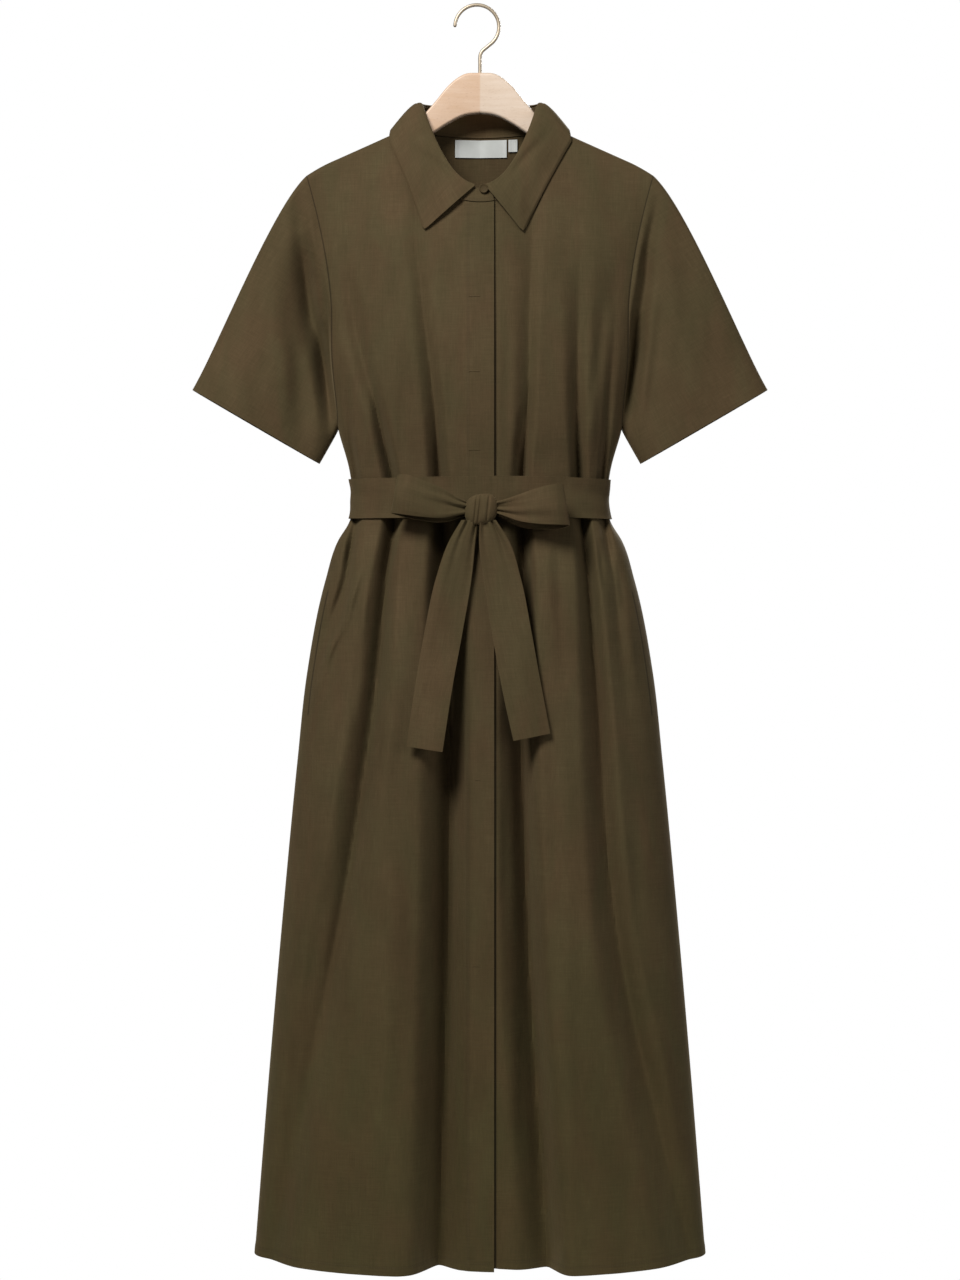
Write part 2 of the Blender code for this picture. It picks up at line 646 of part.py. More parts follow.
def belt_band(material):
    """A closed ring that lies on the cloth's smooth outline and bridges its tucks."""
    angle = np.linspace(0, 2 * pi, BELT_COLUMNS, endpoint=False)
    z = np.linspace(BELT_FOOT_Z, BELT_TOP_Z, 3)[:, None]
    x = section(z, "half_width") * np.sin(angle)
    forward = np.cos(angle)[None, :] + 0 * z
    y = np.where(forward > 0, -bare_depth(x, z, "front_depth"), bare_depth(x, z, "back_depth"))
    cloth = np.stack([x, y, z + 0 * x], -1)
    outwards = normals_of(cloth, closed=True)
    if ((cloth - cloth.mean(axis=1, keepdims=True)) * outwards).sum() < 0:
        outwards = -outwards
    clear = WALL + 2 * LAY_GAP
    inner = cloth + outwards * clear
    return cloth_wall("belt_band", inner + outwards * WALL, inner, material, closed=True)


Strip = namedtuple("Strip", "x y foot top")


def strip_wall(name, table, samples, material, width_rows=3, sag=0.0):
    """A strip of belt along a short table of places. Each row gives x, y and the heights of the
    strip's two edges, and the strip is a little cupped between them."""
    table = np.array(table, float) * MM
    along = np.concatenate([[0], np.cumsum(np.linalg.norm(np.diff(table[:, :2], axis=0), axis=1))])
    at = np.linspace(0, along[-1], samples)
    x, y, foot, top = (through(at, along, table[:, k]) for k in range(4))
    v = np.linspace(0, 1, width_rows)[:, None]
    z = foot + (top - foot) * v
    cup = sag * (1 - (2 * v - 1) ** 2)
    grid = np.stack([x + 0 * z, y - cup + 0 * z, z], -1)
    normal = normals_of(grid)
    return cloth_wall(name, grid + normal * WALL / 2, grid - normal * WALL / 2, material)


LOOP_TABLES = {
    "bow_loop_right": (
        Strip(-16.5, -78, -571, -556), Strip(-38, -84, -577, -541), Strip(-66, -87, -575, -533),
        Strip(-92, -85, -570, -528), Strip(-99.5, -79, -569, -530), Strip(-93, -73.5, -572, -533),
        Strip(-66, -72, -577, -538), Strip(-38, -72.5, -578, -545), Strip(-16.5, -73.5, -572, -556),
    ),
    "bow_loop_left": (
        Strip(20.5, -78, -572, -556), Strip(42, -84, -580, -543), Strip(70, -87, -584, -538),
        Strip(94, -85, -585, -537), Strip(101, -79, -586, -540), Strip(95, -73.5, -588, -543),
        Strip(70, -72, -588, -546), Strip(42, -72.5, -584, -550), Strip(20.5, -73.5, -573, -556),
    ),
}

Tail = namedtuple("Tail", "z left right")
TAIL_TABLES = {
    "belt_tail_right": (
        Tail(-582.6, -15, -3), Tail(-602, -32, -7), Tail(-640, -48, -6), Tail(-700, -62, -18),
        Tail(-765, -73, -31), Tail(-828, -80, -40),
    ),
    "belt_tail_left": (
        Tail(-582.6, 4, 16), Tail(-602, 2, 30), Tail(-640, 4, 43), Tail(-700, 14, 56),
        Tail(-765, 26, 69), Tail(-815, 37, 78),
    ),
}


def tail_wall(name, table, material, samples=11, columns=5):
    """A tail hangs from the knot and lies in front of the skirt, touching only its ridges."""
    table = np.array(table, float) * MM
    z = np.linspace(table[0, 0], table[-1, 0], samples)
    left = through(z, table[:, 0], table[:, 1])
    right = through(z, table[:, 0], table[:, 2])
    v = np.linspace(0, 1, columns)
    x = left[:, None] + (right - left)[:, None] * v
    height = z[:, None] + 0 * x
    bare = -bare_depth(x, height, "front_depth")
    hung = ease((z - table[-1, 0]) / (table[0, 0] - table[-1, 0]))[:, None]
    ridge = np.minimum(bare.min(axis=1, keepdims=True), KNOT_CENTRE[1] * hung)
    lie = ridge - WALL - LAY_GAP - 2.5 * MM + (1 - hung) * 4 * MM
    cup = 1.5 * MM * (1 - (2 * v - 1) ** 2)
    outer = np.stack([x, np.minimum(lie, bare - WALL - 2 * LAY_GAP) - cup, height], -1)
    normal = normals_of(outer)
    if normal[..., 1].sum() > 0:
        normal = -normal
    return cloth_wall(name, outer + normal * WALL / 2, outer - normal * WALL / 2, material)


def knot(material):
    """The knot: a rounded, slightly flattened lump of wound belt."""
    bpy.ops.mesh.primitive_uv_sphere_add(segments=18, ring_count=10, radius=1)
    obj = bpy.context.object
    obj.name = "belt_knot"
    obj.data.transform(obj.matrix_world)
    for vertex in obj.data.vertices:
        place = np.array(vertex.co)
        squared = np.sign(place) * np.abs(place) ** 0.8
        vertex.co = KNOT_CENTRE + squared * KNOT_SIZE
    obj.matrix_world.identity()
    obj.data.materials.append(material)
    obj.data.shade_smooth()
    return obj


# ---------------------------------------------------------------- hanger
Arm = namedtuple("Arm", "x top foot")
HANGER_ARMS = (
    Arm(0, -74, -119.5), Arm(18, -76, -122.5), Arm(35, -88.5, -131), Arm(51, -108, -141.5),
    Arm(64, -122.5, -150), Arm(80, -135.7, -158), Arm(100, -145, -166), Arm(140, -163.6, -183),
    Arm(172, -178.5, -197), Arm(182, -183.8, -197),
)
HANGER_HALF = 5.2 * MM      # half the wood's thickness
HOOK_WIRE = 2.0 * MM        # radius of the wire
HOOK_RADIUS = 24.6 * MM     # of the hook's round, at the wire's middle
HOOK_SIDE = -3.4 * MM       # the round lies a little to one side of the stem


def hanger_top(x):
    """The wood's top edge: its own curve at the neck, then just inside the shoulder seam."""
    table = np.array([[arm.x, arm.top] for arm in HANGER_ARMS]) * MM
    under_cloth = shoulder_z(x) - (WALL + LAY_GAP) * np.sqrt(1 + SHOULDER_SLOPE**2)
    shown = through(x, table[:, 0], table[:, 1]) - 8 * MM * ease((x - 59 * MM) / (13 * MM))
    share = ease((x - 86 * MM) / (26 * MM))
    return shown * (1 - share) + under_cloth * share


def hanger(material):
    """A wooden hanger: rounded sections along X that follow the shoulder seam."""
    half = np.concatenate([np.linspace(0, 64, 9), np.linspace(76, 172, 9), [179, 183, 185]]) * MM
    x = np.concatenate([-half[:0:-1], half])
    table = np.array([[arm.x, arm.top, arm.foot] for arm in HANGER_ARMS]) * MM
    top = hanger_top(np.abs(x))
    foot = through(np.abs(x), table[:, 0], table[:, 2])
    end = np.clip((np.abs(x) - 176 * MM) / (HANGER_TIP_X - 176 * MM), 0, 1)
    shrink = np.sqrt(1 - 0.93 * end**2)
    middle = top + (foot - top) * 0.45
    rows = []
    for i, place in enumerate(x):
        thick = HANGER_HALF * shrink[i]
        high = middle[i] + (top[i] - middle[i]) * shrink[i]
        low = middle[i] + (foot[i] - middle[i]) * shrink[i]
        low_round = min(thick, 4 * MM)
        ring = []
        for angle in np.linspace(0, pi, 7):
            ring.append((thick * cos(angle), high - thick + thick * sin(angle)))
        for angle in np.linspace(pi, 2 * pi, 5):
            side = np.sign(round(cos(angle), 6)) * (thick - low_round)
            ring.append((side + low_round * cos(angle), low + low_round + low_round * sin(angle)))
        y_middle = shoulder_y(place)
        rows.append([(place, y_middle + y, z) for y, z in ring])
    grid = np.array(rows)
    return closed_loft("hanger", grid, material)


def closed_loft(name, rings, material):
    """A solid through a row of rings, with flat ends."""
    count, size = rings.shape[:2]
    faces = []
    for r in range(count - 1):
        for c in range(size):
            a, b = r * size + c, r * size + (c + 1) % size
            faces.append((a, b, b + size, a + size))
    faces.append(tuple(range(size - 1, -1, -1)))
    faces.append(tuple(range((count - 1) * size, count * size)))
    mesh = bpy.data.meshes.new(name)
    mesh.from_pydata([tuple(p) for p in rings.reshape(-1, 3)], [], faces)
    return add_object(name, mesh, material)


def hook(material):
    """The wire hook: a round that ends level with its middle on the -X side, and a straight stem."""
    rise = np.sqrt((HOOK_RADIUS - HOOK_WIRE) ** 2 - HOOK_SIDE**2)
    middle = np.array([HOOK_SIDE, -rise])
    angles = np.radians(np.linspace(186, -46, 30))
    ring = [middle + HOOK_RADIUS * np.array([cos(a), sin(a)]) for a in angles]
    stem = [np.array([6.2, -46.2]) * MM, np.array([2.2, -49.4]) * MM, np.array([0.3, -52.8]) * MM,
            np.array([0, -57]) * MM, np.array([0, -64]) * MM, np.array([0, -74 + 0.3 + 0.2]) * MM]
    points = ring + stem
    curve = bpy.data.curves.new("hook", "CURVE")
    curve.dimensions = "3D"
    curve.bevel_depth = HOOK_WIRE
    curve.bevel_resolution = 2
    curve.use_fill_caps = True
    spline = curve.splines.new("POLY")
    spline.points.add(len(points) - 1)
    for point, (x, z) in zip(spline.points, points):
        point.co = (x, 0, z, 1)
    curve.materials.append(material)
    obj = bpy.data.objects.new("hook", curve)
    bpy.context.scene.collection.objects.link(obj)
    return obj


# ---------------------------------------------------------------- the whole garment
def build():
    for obj in list(bpy.data.objects):
        bpy.data.objects.remove(obj)
    cloth = material_of("linen_cloth", (0.078, 0.055, 0.032), 0.85)
    button = material_of("button", (0.05, 0.036, 0.022), 0.45)
    woven = material_of("label_tape", (0.72, 0.72, 0.68), 0.7)
    wood = material_of("hanger_wood", (0.66, 0.46, 0.31), 0.5)
    brass = material_of("hook_wire", (0.72, 0.55, 0.36), 0.28, 1.0)

    cloth_wall("front_right", *front_grids(-1, over=True), cloth)
    cloth_wall("front_left", *front_grids(1, over=False), cloth)
    cloth_wall("back", *back_grids(), cloth)
    cloth_wall("sleeve_right", *sleeve_grids(-1), cloth, closed=True)
    cloth_wall("sleeve_left", *sleeve_grids(1), cloth, closed=True)
    cloth_wall("collar_stand", *stand_grids(), cloth)
    cloth_wall("collar", *collar_grids(), cloth)
    neck_button(button)
    labels(woven)
    pocket_bag(-1, cloth)
    pocket_bag(1, cloth)
    belt_band(cloth)
    for name, table in LOOP_TABLES.items():
        strip_wall(name, table, 19, cloth)
    for name, table in TAIL_TABLES.items():
        tail_wall(name, table, cloth)
    knot(cloth)
    hanger(wood)
    hook(brass)


build()
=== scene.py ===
"""Belted shirt dress hanging on a wooden hanger.

Metres, +Z up, the wearer faces -Y, and the origin is where a rail touches the inside of the hook.
Each panel is a surface y(x, z) worked out from the garment's widths and depths and from the folds
that hang in it; a wall of cloth is that surface and a copy of it moved inwards. Tables hold
millimetres and are turned into metres once, by MM.
"""

from collections import namedtuple
from math import pi, radians

import bpy
import numpy as np
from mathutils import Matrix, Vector


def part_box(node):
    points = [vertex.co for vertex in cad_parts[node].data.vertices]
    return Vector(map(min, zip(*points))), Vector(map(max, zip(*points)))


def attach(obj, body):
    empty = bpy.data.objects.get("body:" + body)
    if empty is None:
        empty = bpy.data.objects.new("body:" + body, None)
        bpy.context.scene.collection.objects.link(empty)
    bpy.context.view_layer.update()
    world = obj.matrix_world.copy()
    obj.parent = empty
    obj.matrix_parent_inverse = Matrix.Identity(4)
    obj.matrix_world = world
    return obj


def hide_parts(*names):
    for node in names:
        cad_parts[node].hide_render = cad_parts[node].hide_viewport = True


MM = 0.001
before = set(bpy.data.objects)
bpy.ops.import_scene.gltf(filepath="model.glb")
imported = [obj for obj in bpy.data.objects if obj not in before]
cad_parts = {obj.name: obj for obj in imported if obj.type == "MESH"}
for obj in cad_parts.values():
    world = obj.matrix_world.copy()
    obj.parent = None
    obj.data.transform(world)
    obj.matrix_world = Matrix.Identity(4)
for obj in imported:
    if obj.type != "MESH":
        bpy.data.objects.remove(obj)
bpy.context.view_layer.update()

# ------------------------------------------------------------------ sizes of the garment
CLOTH = 0.9 * MM            # the linen with a little body, as it shows at an edge
SEAM_GAP, LAY_GAP = 0.1 * MM, 0.4 * MM      # between sewn edges, and between layers that lie close
UNDERARM_Z, UNDERARM_X = -474 * MM, 158.5 * MM
ARMHOLE_X, SHOULDER_TIP_X = 165 * MM, 193 * MM
NECK_X, NECK_POINT_Z = 80 * MM, -135.2 * MM
SHOULDER_SLOPE = 0.466
FRONT_NECK_DROP, BACK_NECK_DROP = 91 * MM, 9 * MM
SHOULDER_ROUND, SHOULDER_FALL, SHOULDER_SWEEP = 8 * MM, 75 * MM, 14 * MM
FOLD_FADE = 110 * MM
SIDE_POWER, EDGE_POWER = 2.4, 22
FLY_HALF, FLY_LIFT = 15.5 * MM, 2.6 * MM
STITCH_X = 13 * MM          # the placket's row of stitches, from the centre front
HEM_Z, HEM_ROWS, HEM_DIP, HEM_DEPTH = -1394 * MM, 74 * MM, 6 * MM, 9 * MM
HEM_CORNER_OVER, HEM_CORNER_UNDER = -2.4 * MM, 2 * MM     # how far each placket corner is moved up
BELT_TOP_Z, BELT_FOOT_Z = -529 * MM, -574 * MM


def table(columns, *rows):
    """Rows of numbers with named columns."""
    return tuple(map(namedtuple("Row", columns)._make, rows))


SECTIONS = table(
    "z half_width front_depth back_depth",
    (-1400, 252.5, 112, 110),
    (-1180, 235, 106, 104),
    (-980, 217.5, 99, 97),
    (-845, 204.5, 93, 90),
    (-745, 193.5, 86, 84),
    (-642, 173, 75, 73),
    (-598, 159, 67, 65),
    (-576, 146, 62, 60),
    (-551, 142.5, 60, 57),
    (-520, 146, 62, 59),
    (-474, 158.5, 69, 63),
    (-423, 168, 73, 65),
    (-350, 178, 71, 62),
    (-280, 188, 64, 55),
    (-190, 205, 54, 46),
    (-100, 220, 50, 42),
)

# Troughs that run down the cloth: place, depth and half width at eight levels. lean moves the
# bottom towards +X (the -X flank is longer), and sharp below 2 narrows the bottom to a pleat.
LEVELS = np.array([-260, -340, -470, -551, -640, -760, -1000, -1392]) * MM
FOLD = "x depth width lean sharp"
FRONT_FOLDS = table(
    FOLD,
    (
        (-158, -156, -146, -138, -149, -165, -190, -200), (0, 0, 5, 19, 10, 2, 0, 0),
        (20, 15, 8, 9, 11, 20, 30, 30), 0, 1.3,
    ),
    (
        (-148, -142, -111, -95, -104, -115, -152, -232), (1, 7, 20, 30, 32, 32, 29, 16),
        (24, 21, 14, 13, 18, 24, 32, 38), 0.1, 1.3,
    ),
    (
        (-72, -63, -49, -44, -40, -35, -35, -46), (3, 9, 20, 29, 39, 48, 51, 37),
        (15, 16, 16, 15, 21, 30, 34, 31), 0.05, 1.3,
    ),
    (
        (0, 0, 0, 0, -2, -4, -4, 6), (0, 0, 0, 1, 4, 9, 22, 44),
        (60, 60, 60, 60, 84, 96, 102, 100), 0, 3,
    ),
    (
        (58, 55, 52, 47, 49, 46, 52, 75), (5, 10, 17, 28, 41, 48, 51, 37),
        (22, 19, 15, 14, 20, 25, 29, 31), 0.25, 1.25,
    ),
    (
        (110, 109, 108, 112, 120, 128, 146, 232), (1, 7, 18, 27, 28, 28, 26, 15),
        (24, 19, 13, 12, 15, 20, 27, 36), 0.1, 1.3,
    ),
    (
        (152, 150, 141, 136, 148, 160, 185, 200), (0, 1, 8, 17, 9, 3, 0, 0),
        (20, 13, 8, 8, 11, 20, 30, 30), 0, 1.3,
    ),
)
BACK_FOLDS = table(
    FOLD,
    (
        (-154, -152, -140, -132, -150, -165, -185, -200), (0, 1, 7, 9, 5, 1, 0, 0),
        (20, 18, 12, 10, 14, 22, 30, 30), 0, 1.6,
    ),
    (
        (-120, -116, -100, -96, -106, -118, -146, -182), (2, 6, 12, 18, 18, 16, 14, 15),
        (28, 26, 18, 15, 20, 28, 40, 48), 0.2, 1.5,
    ),
    (
        (-58, -56, -52, -47, -46, -48, -54, -70), (3, 7, 11, 17, 19, 21, 25, 30),
        (26, 24, 18, 15, 20, 28, 40, 48), -0.2, 1.5,
    ),
    (
        (5, 4, 2, -2, 2, 5, 8, 6), (1, 4, 8, 13, 12, 12, 12, 14),
        (26, 24, 18, 14, 20, 26, 36, 42), 0.1, 1.5,
    ),
    (
        (66, 63, 54, 50, 54, 57, 64, 80), (3, 7, 11, 18, 20, 21, 26, 31),
        (26, 24, 18, 15, 20, 28, 42, 50), 0.2, 1.5,
    ),
    (
        (120, 118, 104, 99, 105, 113, 136, 176), (2, 6, 12, 17, 17, 15, 14, 15),
        (28, 26, 18, 15, 20, 28, 40, 48), -0.2, 1.5,
    ),
    (
        (154, 153, 143, 134, 150, 165, 185, 200), (0, 1, 7, 9, 5, 1, 0, 0),
        (20, 18, 12, 10, 14, 22, 30, 30), 0, 1.6,
    ),
)

# Short creases: a soft line from one point to another, seen from the front. depth below 0 is a ridge.
CREASE = "x0 z0 x1 z1 depth width"
FRONT_CREASES = table(
    CREASE,
    (-144, -588, -147, -648, 3.6, 6), (-147, -628, -172, -716, 5.2, 7),
    (-131, -622, -150, -704, -4.6, 6), (-145, -676, -173, -740, -4.8, 6),
    (-164, -712, -187, -790, -3.2, 8), (-168, -660, -179, -742, 2.8, 7),
    (-126, -640, -128, -710, -1.8, 6), (-133, -700, -140, -800, 2.0, 7),
    (142, -600, 156, -676, -2.8, 9), (158, -670, 176, -765, -2.6, 10),
    (150, -610, 164, -690, 2.4, 7), (130, -590, 140, -660, 2.2, 6),
    (-84, -585, -88, -700, 2.0, 8), (-30, -600, -26, -700, -1.2, 9),
    (84, -585, 92, -760, 1.6, 9), (72, -590, 78, -700, -1.6, 9),
    (-128, -400, -112, -500, -2.6, 9), (-88, -400, -84, -524, 1.8, 7),
    (-36, -380, -30, -524, 1.6, 8), (46, -450, 40, -528, 3.0, 5),
    (52, -470, 58, -528, -2.0, 6), (128, -400, 122, -524, -2.6, 9),
    (136, -330, 126, -470, 2.4, 9), (94, -330, 92, -500, -1.2, 14),
    (-150, -300, -126, -410, 2.4, 13), (-120, -250, -96, -390, -1.6, 18),
    (150, -280, 130, -400, 1.8, 17), (30, -300, 32, -520, 1.2, 9),
    (-36, -250, -30, -380, 1.0, 20), (96, -235, 90, -330, 1.2, 18),
    (-150, -770, -164, -930, -2.2, 12), (-128, -870, -150, -1040, 2.2, 9),
    (-152, -940, -176, -1120, -2.4, 12), (-176, -960, -196, -1180, 2.4, 12),
    (-84, -760, -92, -960, 1.8, 14), (-96, -940, -108, -1200, -2.0, 18),
    (-84, -1090, -98, -1330, 1.8, 14), (-30, -880, -34, -1100, 1.4, 9),
    (-24, -1000, -28, -1300, -1.2, 10), (66, -740, 72, -900, -1.8, 12),
    (78, -820, 88, -1040, 2.2, 14), (84, -1000, 96, -1330, -2.2, 18),
    (112, -880, 128, -1120, -2.0, 14), (164, -860, 180, -1100, 2.4, 14),
    (26, -860, 30, -1040, 1.8, 7), (40, -1080, 50, -1330, 2.0, 9),
    (-200, -1040, -214, -1330, 2.0, 12), (196, -1120, 222, -1340, -2.2, 14),
    (160, -1060, 184, -1300, 1.8, 14),
)
BACK_CREASES = table(
    CREASE,
    (-74, -585, -80, -720, -2.0, 9), (78, -585, 84, -730, -2.0, 9),
    (24, -590, 26, -740, 2.2, 9), (-22, -590, -24, -700, -1.8, 9),
    (-120, -600, -130, -700, 2.0, 10), (122, -600, 134, -710, 2.0, 10),
    (-76, -430, -72, -524, 2.2, 9), (78, -420, 76, -524, 2.2, 9),
    (-28, -430, -26, -524, -1.8, 9), (28, -440, 28, -524, -1.8, 9),
    (-140, -250, -110, -410, 2.4, 18), (142, -250, 112, -400, 2.4, 18),
    (-60, -210, -52, -360, 1.6, 22), (70, -220, 62, -380, 1.6, 22),
    (-96, -850, -108, -1150, -2.6, 20), (108, -860, 124, -1180, -2.6, 20),
    (-20, -900, -26, -1250, 2.4, 20), (36, -860, 40, -1200, -2.4, 20),
    (-160, -900, -176, -1300, 2.4, 18), (170, -930, 190, -1320, 2.4, 18),
)
# On a sleeve x is out from the centre line. The front's come first, then the back's.
SLEEVE_CREASES = {
    -1: (
        table(
            CREASE,
            (203, -195, 190, -400, 15, 13), (198, -255, 166, -480, 32, 22),
            (180, -350, 165, -500, 20, 10), (188, -210, 182, -320, -3.4, 7),
            (212, -270, 196, -520, 14, 20), (184, -300, 170, -400, -4.4, 7),
            (186, -400, 182, -490, -2.4, 8), (226, -240, 240, -400, -2.2, 16),
            (214, -360, 216, -470, -1.6, 10), (232, -330, 246, -440, 1.6, 10),
            (262, -320, 284, -430, 1.4, 14), (206, -196, 224, -240, -1.4, 10),
        ),
        table(
            CREASE,
            (200, -240, 190, -380, 5.0, 13), (190, -350, 172, -470, 8.0, 10),
            (232, -250, 244, -440, -2.4, 18), (258, -300, 280, -430, 1.8, 16),
            (206, -340, 208, -480, 2.4, 12),
        ),
    ),
    1: (
        table(
            CREASE,
            (196, -205, 183, -325, 10, 10), (187, -265, 173, -415, 16, 12),
            (178, -340, 163, -492, 22, 11), (182, -230, 170, -330, -2.4, 5),
            (202, -300, 192, -480, 6, 15), (184, -380, 180, -490, -2.2, 8),
            (208, -230, 218, -380, -2.2, 14), (214, -330, 222, -450, 1.8, 12),
            (250, -320, 268, -420, 1.4, 14), (232, -390, 240, -462, -1.2, 10),
        ),
        table(
            CREASE,
            (196, -230, 184, -370, 5.0, 12), (186, -340, 172, -470, 9.0, 10),
            (228, -260, 240, -440, 2.4, 16), (262, -310, 286, -430, -1.6, 14),
            (204, -340, 204, -470, -2.4, 10),
        ),
    ),
}


# ------------------------------------------------------------------ curves through tables
def through(at, knots, values):
    """A smooth curve through a table: cubic between its knots, flat past its ends."""
    knots, values = np.asarray(knots, float), np.asarray(values, float)
    order = np.argsort(knots)
    knots, values = knots[order], values[order]
    at = np.clip(at, knots[0], knots[-1])
    slopes = np.gradient(values, knots)
    i = np.clip(np.searchsorted(knots, at) - 1, 0, len(knots) - 2)
    span = knots[i + 1] - knots[i]
    t = (at - knots[i]) / span
    start = (1 + 2 * t) * (1 - t) ** 2 * values[i] + t * (1 - t) ** 2 * span * slopes[i]
    end = t * t * (3 - 2 * t) * values[i + 1] - t * t * (1 - t) * span * slopes[i + 1]
    return start + end


def ease(t):
    """0 to 1 with no slope at either end."""
    t = np.clip(t, 0, 1)
    return t * t * (3 - 2 * t)


def section(z, column):
    """One column of the section table at height z."""
    return through(z, [row.z * MM for row in SECTIONS], [getattr(row, column) * MM for row in SECTIONS])


def stacked(*parts):
    """Coordinates put together as the last axis of one array."""
    return np.stack(np.broadcast_arrays(*parts), -1)


def unit(v):
    return v / np.maximum(np.linalg.norm(v, axis=-1, keepdims=True), 1e-12)


# ------------------------------------------------------------------ the body's surface
def shoulder_z(x):
    """The shoulder seam's height; it rounds off towards the tip."""
    round_off = 3.2 * MM * np.clip((np.abs(x) - 165 * MM) / (28 * MM), 0, 1.2) ** 2
    return NECK_POINT_Z - SHOULDER_SLOPE * (np.abs(x) - NECK_X) - round_off


def shoulder_y(x):
    return -SHOULDER_SWEEP * (np.abs(x) / SHOULDER_TIP_X) ** 2


def armhole_x(z):
    """Half the width between the armholes: flares to the shoulder tip, draws in to the underarm."""
    start = -345 * MM
    share = np.clip((z - start) / (shoulder_z(SHOULDER_TIP_X) - start), 0, 1)
    flare = (SHOULDER_TIP_X - ARMHOLE_X) * share**1.6
    draw = (ARMHOLE_X - UNDERARM_X) * (1 - ease((z - UNDERARM_Z) / (90 * MM)))
    return ARMHOLE_X + flare - draw


def fold_depth(x, z, folds):
    """Sum over the troughs of depth times (1 - s ** sharp) squared, where s is the distance from the
    trough's middle over its half width on that side."""
    edge = np.clip(np.abs(x) / section(z, "half_width"), 0, 1)
    total = np.zeros(np.broadcast(x, z).shape)
    for fold in folds:
        off = x - through(z, LEVELS, fold.x) * MM
        width = through(z, LEVELS, fold.width) * MM * np.where(off > 0, 1 - fold.lean, 1 + fold.lean)
        s = np.sqrt((off / width) ** 2 + 0.004)
        depth = np.maximum(through(z, LEVELS, fold.depth) * MM, 0)
        total += depth * (1 - np.clip(s, 0, 1) ** fold.sharp) ** 2
    return total * (1 - edge**EDGE_POWER) * ease((shoulder_z(x) - z) / FOLD_FADE)


def crease_depth(x, z, creases):
    """Sum over the creases of depth times a bell across the line times a taper along it."""
    total = np.zeros(np.broadcast(x, z).shape)
    for c in creases:
        x0, z0, x1, z1 = (value * MM for value in c[:4])
        length = np.hypot(x1 - x0, z1 - z0)
        along = ((x - x0) * (x1 - x0) + (z - z0) * (z1 - z0)) / length**2
        across = ((x - x0) * (z1 - z0) - (z - z0) * (x1 - x0)) / length
        bow = 0.12 * c.width * MM * np.sin(along * 7)
        bell = np.exp(-(((across + bow) / (c.width * MM)) ** 2) * 2)
        total += c.depth * MM * bell * np.sin(pi * np.clip(along, 0, 1)) ** 1.2
    return total


def ripple(x, z, seed, size):
    """Low, uneven ripples that mostly run down the cloth: a few sine waves of unlike lengths."""
    rng = np.random.default_rng(seed)
    total = 0
    for _ in range(7):
        across = rng.uniform(55, 260)
        down = rng.uniform(4, 26)
        total = total + np.sin(across * x + down * z + rng.uniform(0, 6.3)) * rng.uniform(0.3, 1)
    return total * size / 4


def bare_depth(x, z, column):
    """Distance from the shoulder plane to the smooth cloth: it rounds over the hanger's arm, then
    falls away to the depth of the body's plan outline."""
    drop = np.maximum(shoulder_z(x) - z, 0)
    edge = np.clip(np.abs(x) / section(z, "half_width"), 0, 1)
    full = section(z, column) * (1 - edge**SIDE_POWER) ** 0.5
    over = SHOULDER_ROUND * np.sqrt(1 - (1 - np.clip(drop / SHOULDER_ROUND, 0, 1)) ** 2)
    rest = np.maximum(full - SHOULDER_ROUND, 0)
    return np.minimum(over, full) + rest * (1 - np.exp(-drop / SHOULDER_FALL))


def plane_y(x, z):
    return shoulder_y(x) * np.exp(-np.maximum(shoulder_z(x) - z, 0) / SHOULDER_FALL)


def belted(z):
    """1 away from the belt, 0 where it holds the cloth."""
    return 1 - np.exp(-(((z + 551 * MM) / (30 * MM)) ** 4))


def faded(x, z):
    """The share of the small creases that is left: none at the shoulders, side seams and belt."""
    inside = 1 - np.clip(np.abs(x) / section(z, "half_width"), 0, 1) ** EDGE_POWER
    return ease((shoulder_z(x) - z) / (60 * MM)) * inside * belted(z)


def front_y(x, z):
    """The outer face of the fronts: the plane of the seams, less the depth, plus the troughs."""
    small = 1.4 * crease_depth(x, z, FRONT_CREASES) + ripple(x, z, 5, 0.4 * MM)
    smooth = plane_y(x, z) - bare_depth(x, z, "front_depth")
    return smooth + fold_depth(x, z, FRONT_FOLDS) + small * faded(x, z)


def back_y(x, z):
    """The outer face of the back: the same, the other way."""
    small = crease_depth(x, z, BACK_CREASES) + ripple(x, z, 11, 0.4 * MM)
    smooth = plane_y(x, z) + bare_depth(x, z, "back_depth")
    return smooth - fold_depth(x, z, BACK_FOLDS) - small * faded(x, z)


# ------------------------------------------------------------------ grids and walls
def grid_normals(grid, closed=False):
    """Cross product of a grid's two directions."""
    run = np.roll(grid, -1, 1) - np.roll(grid, 1, 1) if closed else np.gradient(grid, axis=1)
    return unit(np.cross(run, np.gradient(grid, axis=0)))


def facing(grid, ahead=True):
    """Grid normals that point to -Y, or to +Y where ahead is False."""
    normal = grid_normals(grid)
    return normal if (normal[..., 1].sum() < 0) == ahead else -normal


def outward(grid, closed=False, centre=None):
    """Grid normals that point away from a centre: a point, or the middle of each row."""
    normal = grid_normals(grid, closed)
    middle = grid.mean(axis=1, keepdims=True) if centre is None else np.asarray(centre)
    return normal if ((grid - middle) * normal).sum() > 0 else -normal


def quads(rows, columns, closed, first=0):
    """Corner numbers of a grid's faces."""
    r = np.arange(rows - 1)[:, None] * columns
    c = np.arange(columns if closed else columns - 1)[None]
    a, b = first + r + c, first + r + (c + 1) % columns
    return stacked(a, b, b + columns, a + columns).reshape(-1, 4)


def rim(a, b, offset):
    """Faces that join two neighbouring edge points to the same two on the inner wall."""
    return stacked(a, a + offset, b + offset, b)


SEAM_VALUES, FAR = ("stitch", "along", "seam"), 0.5


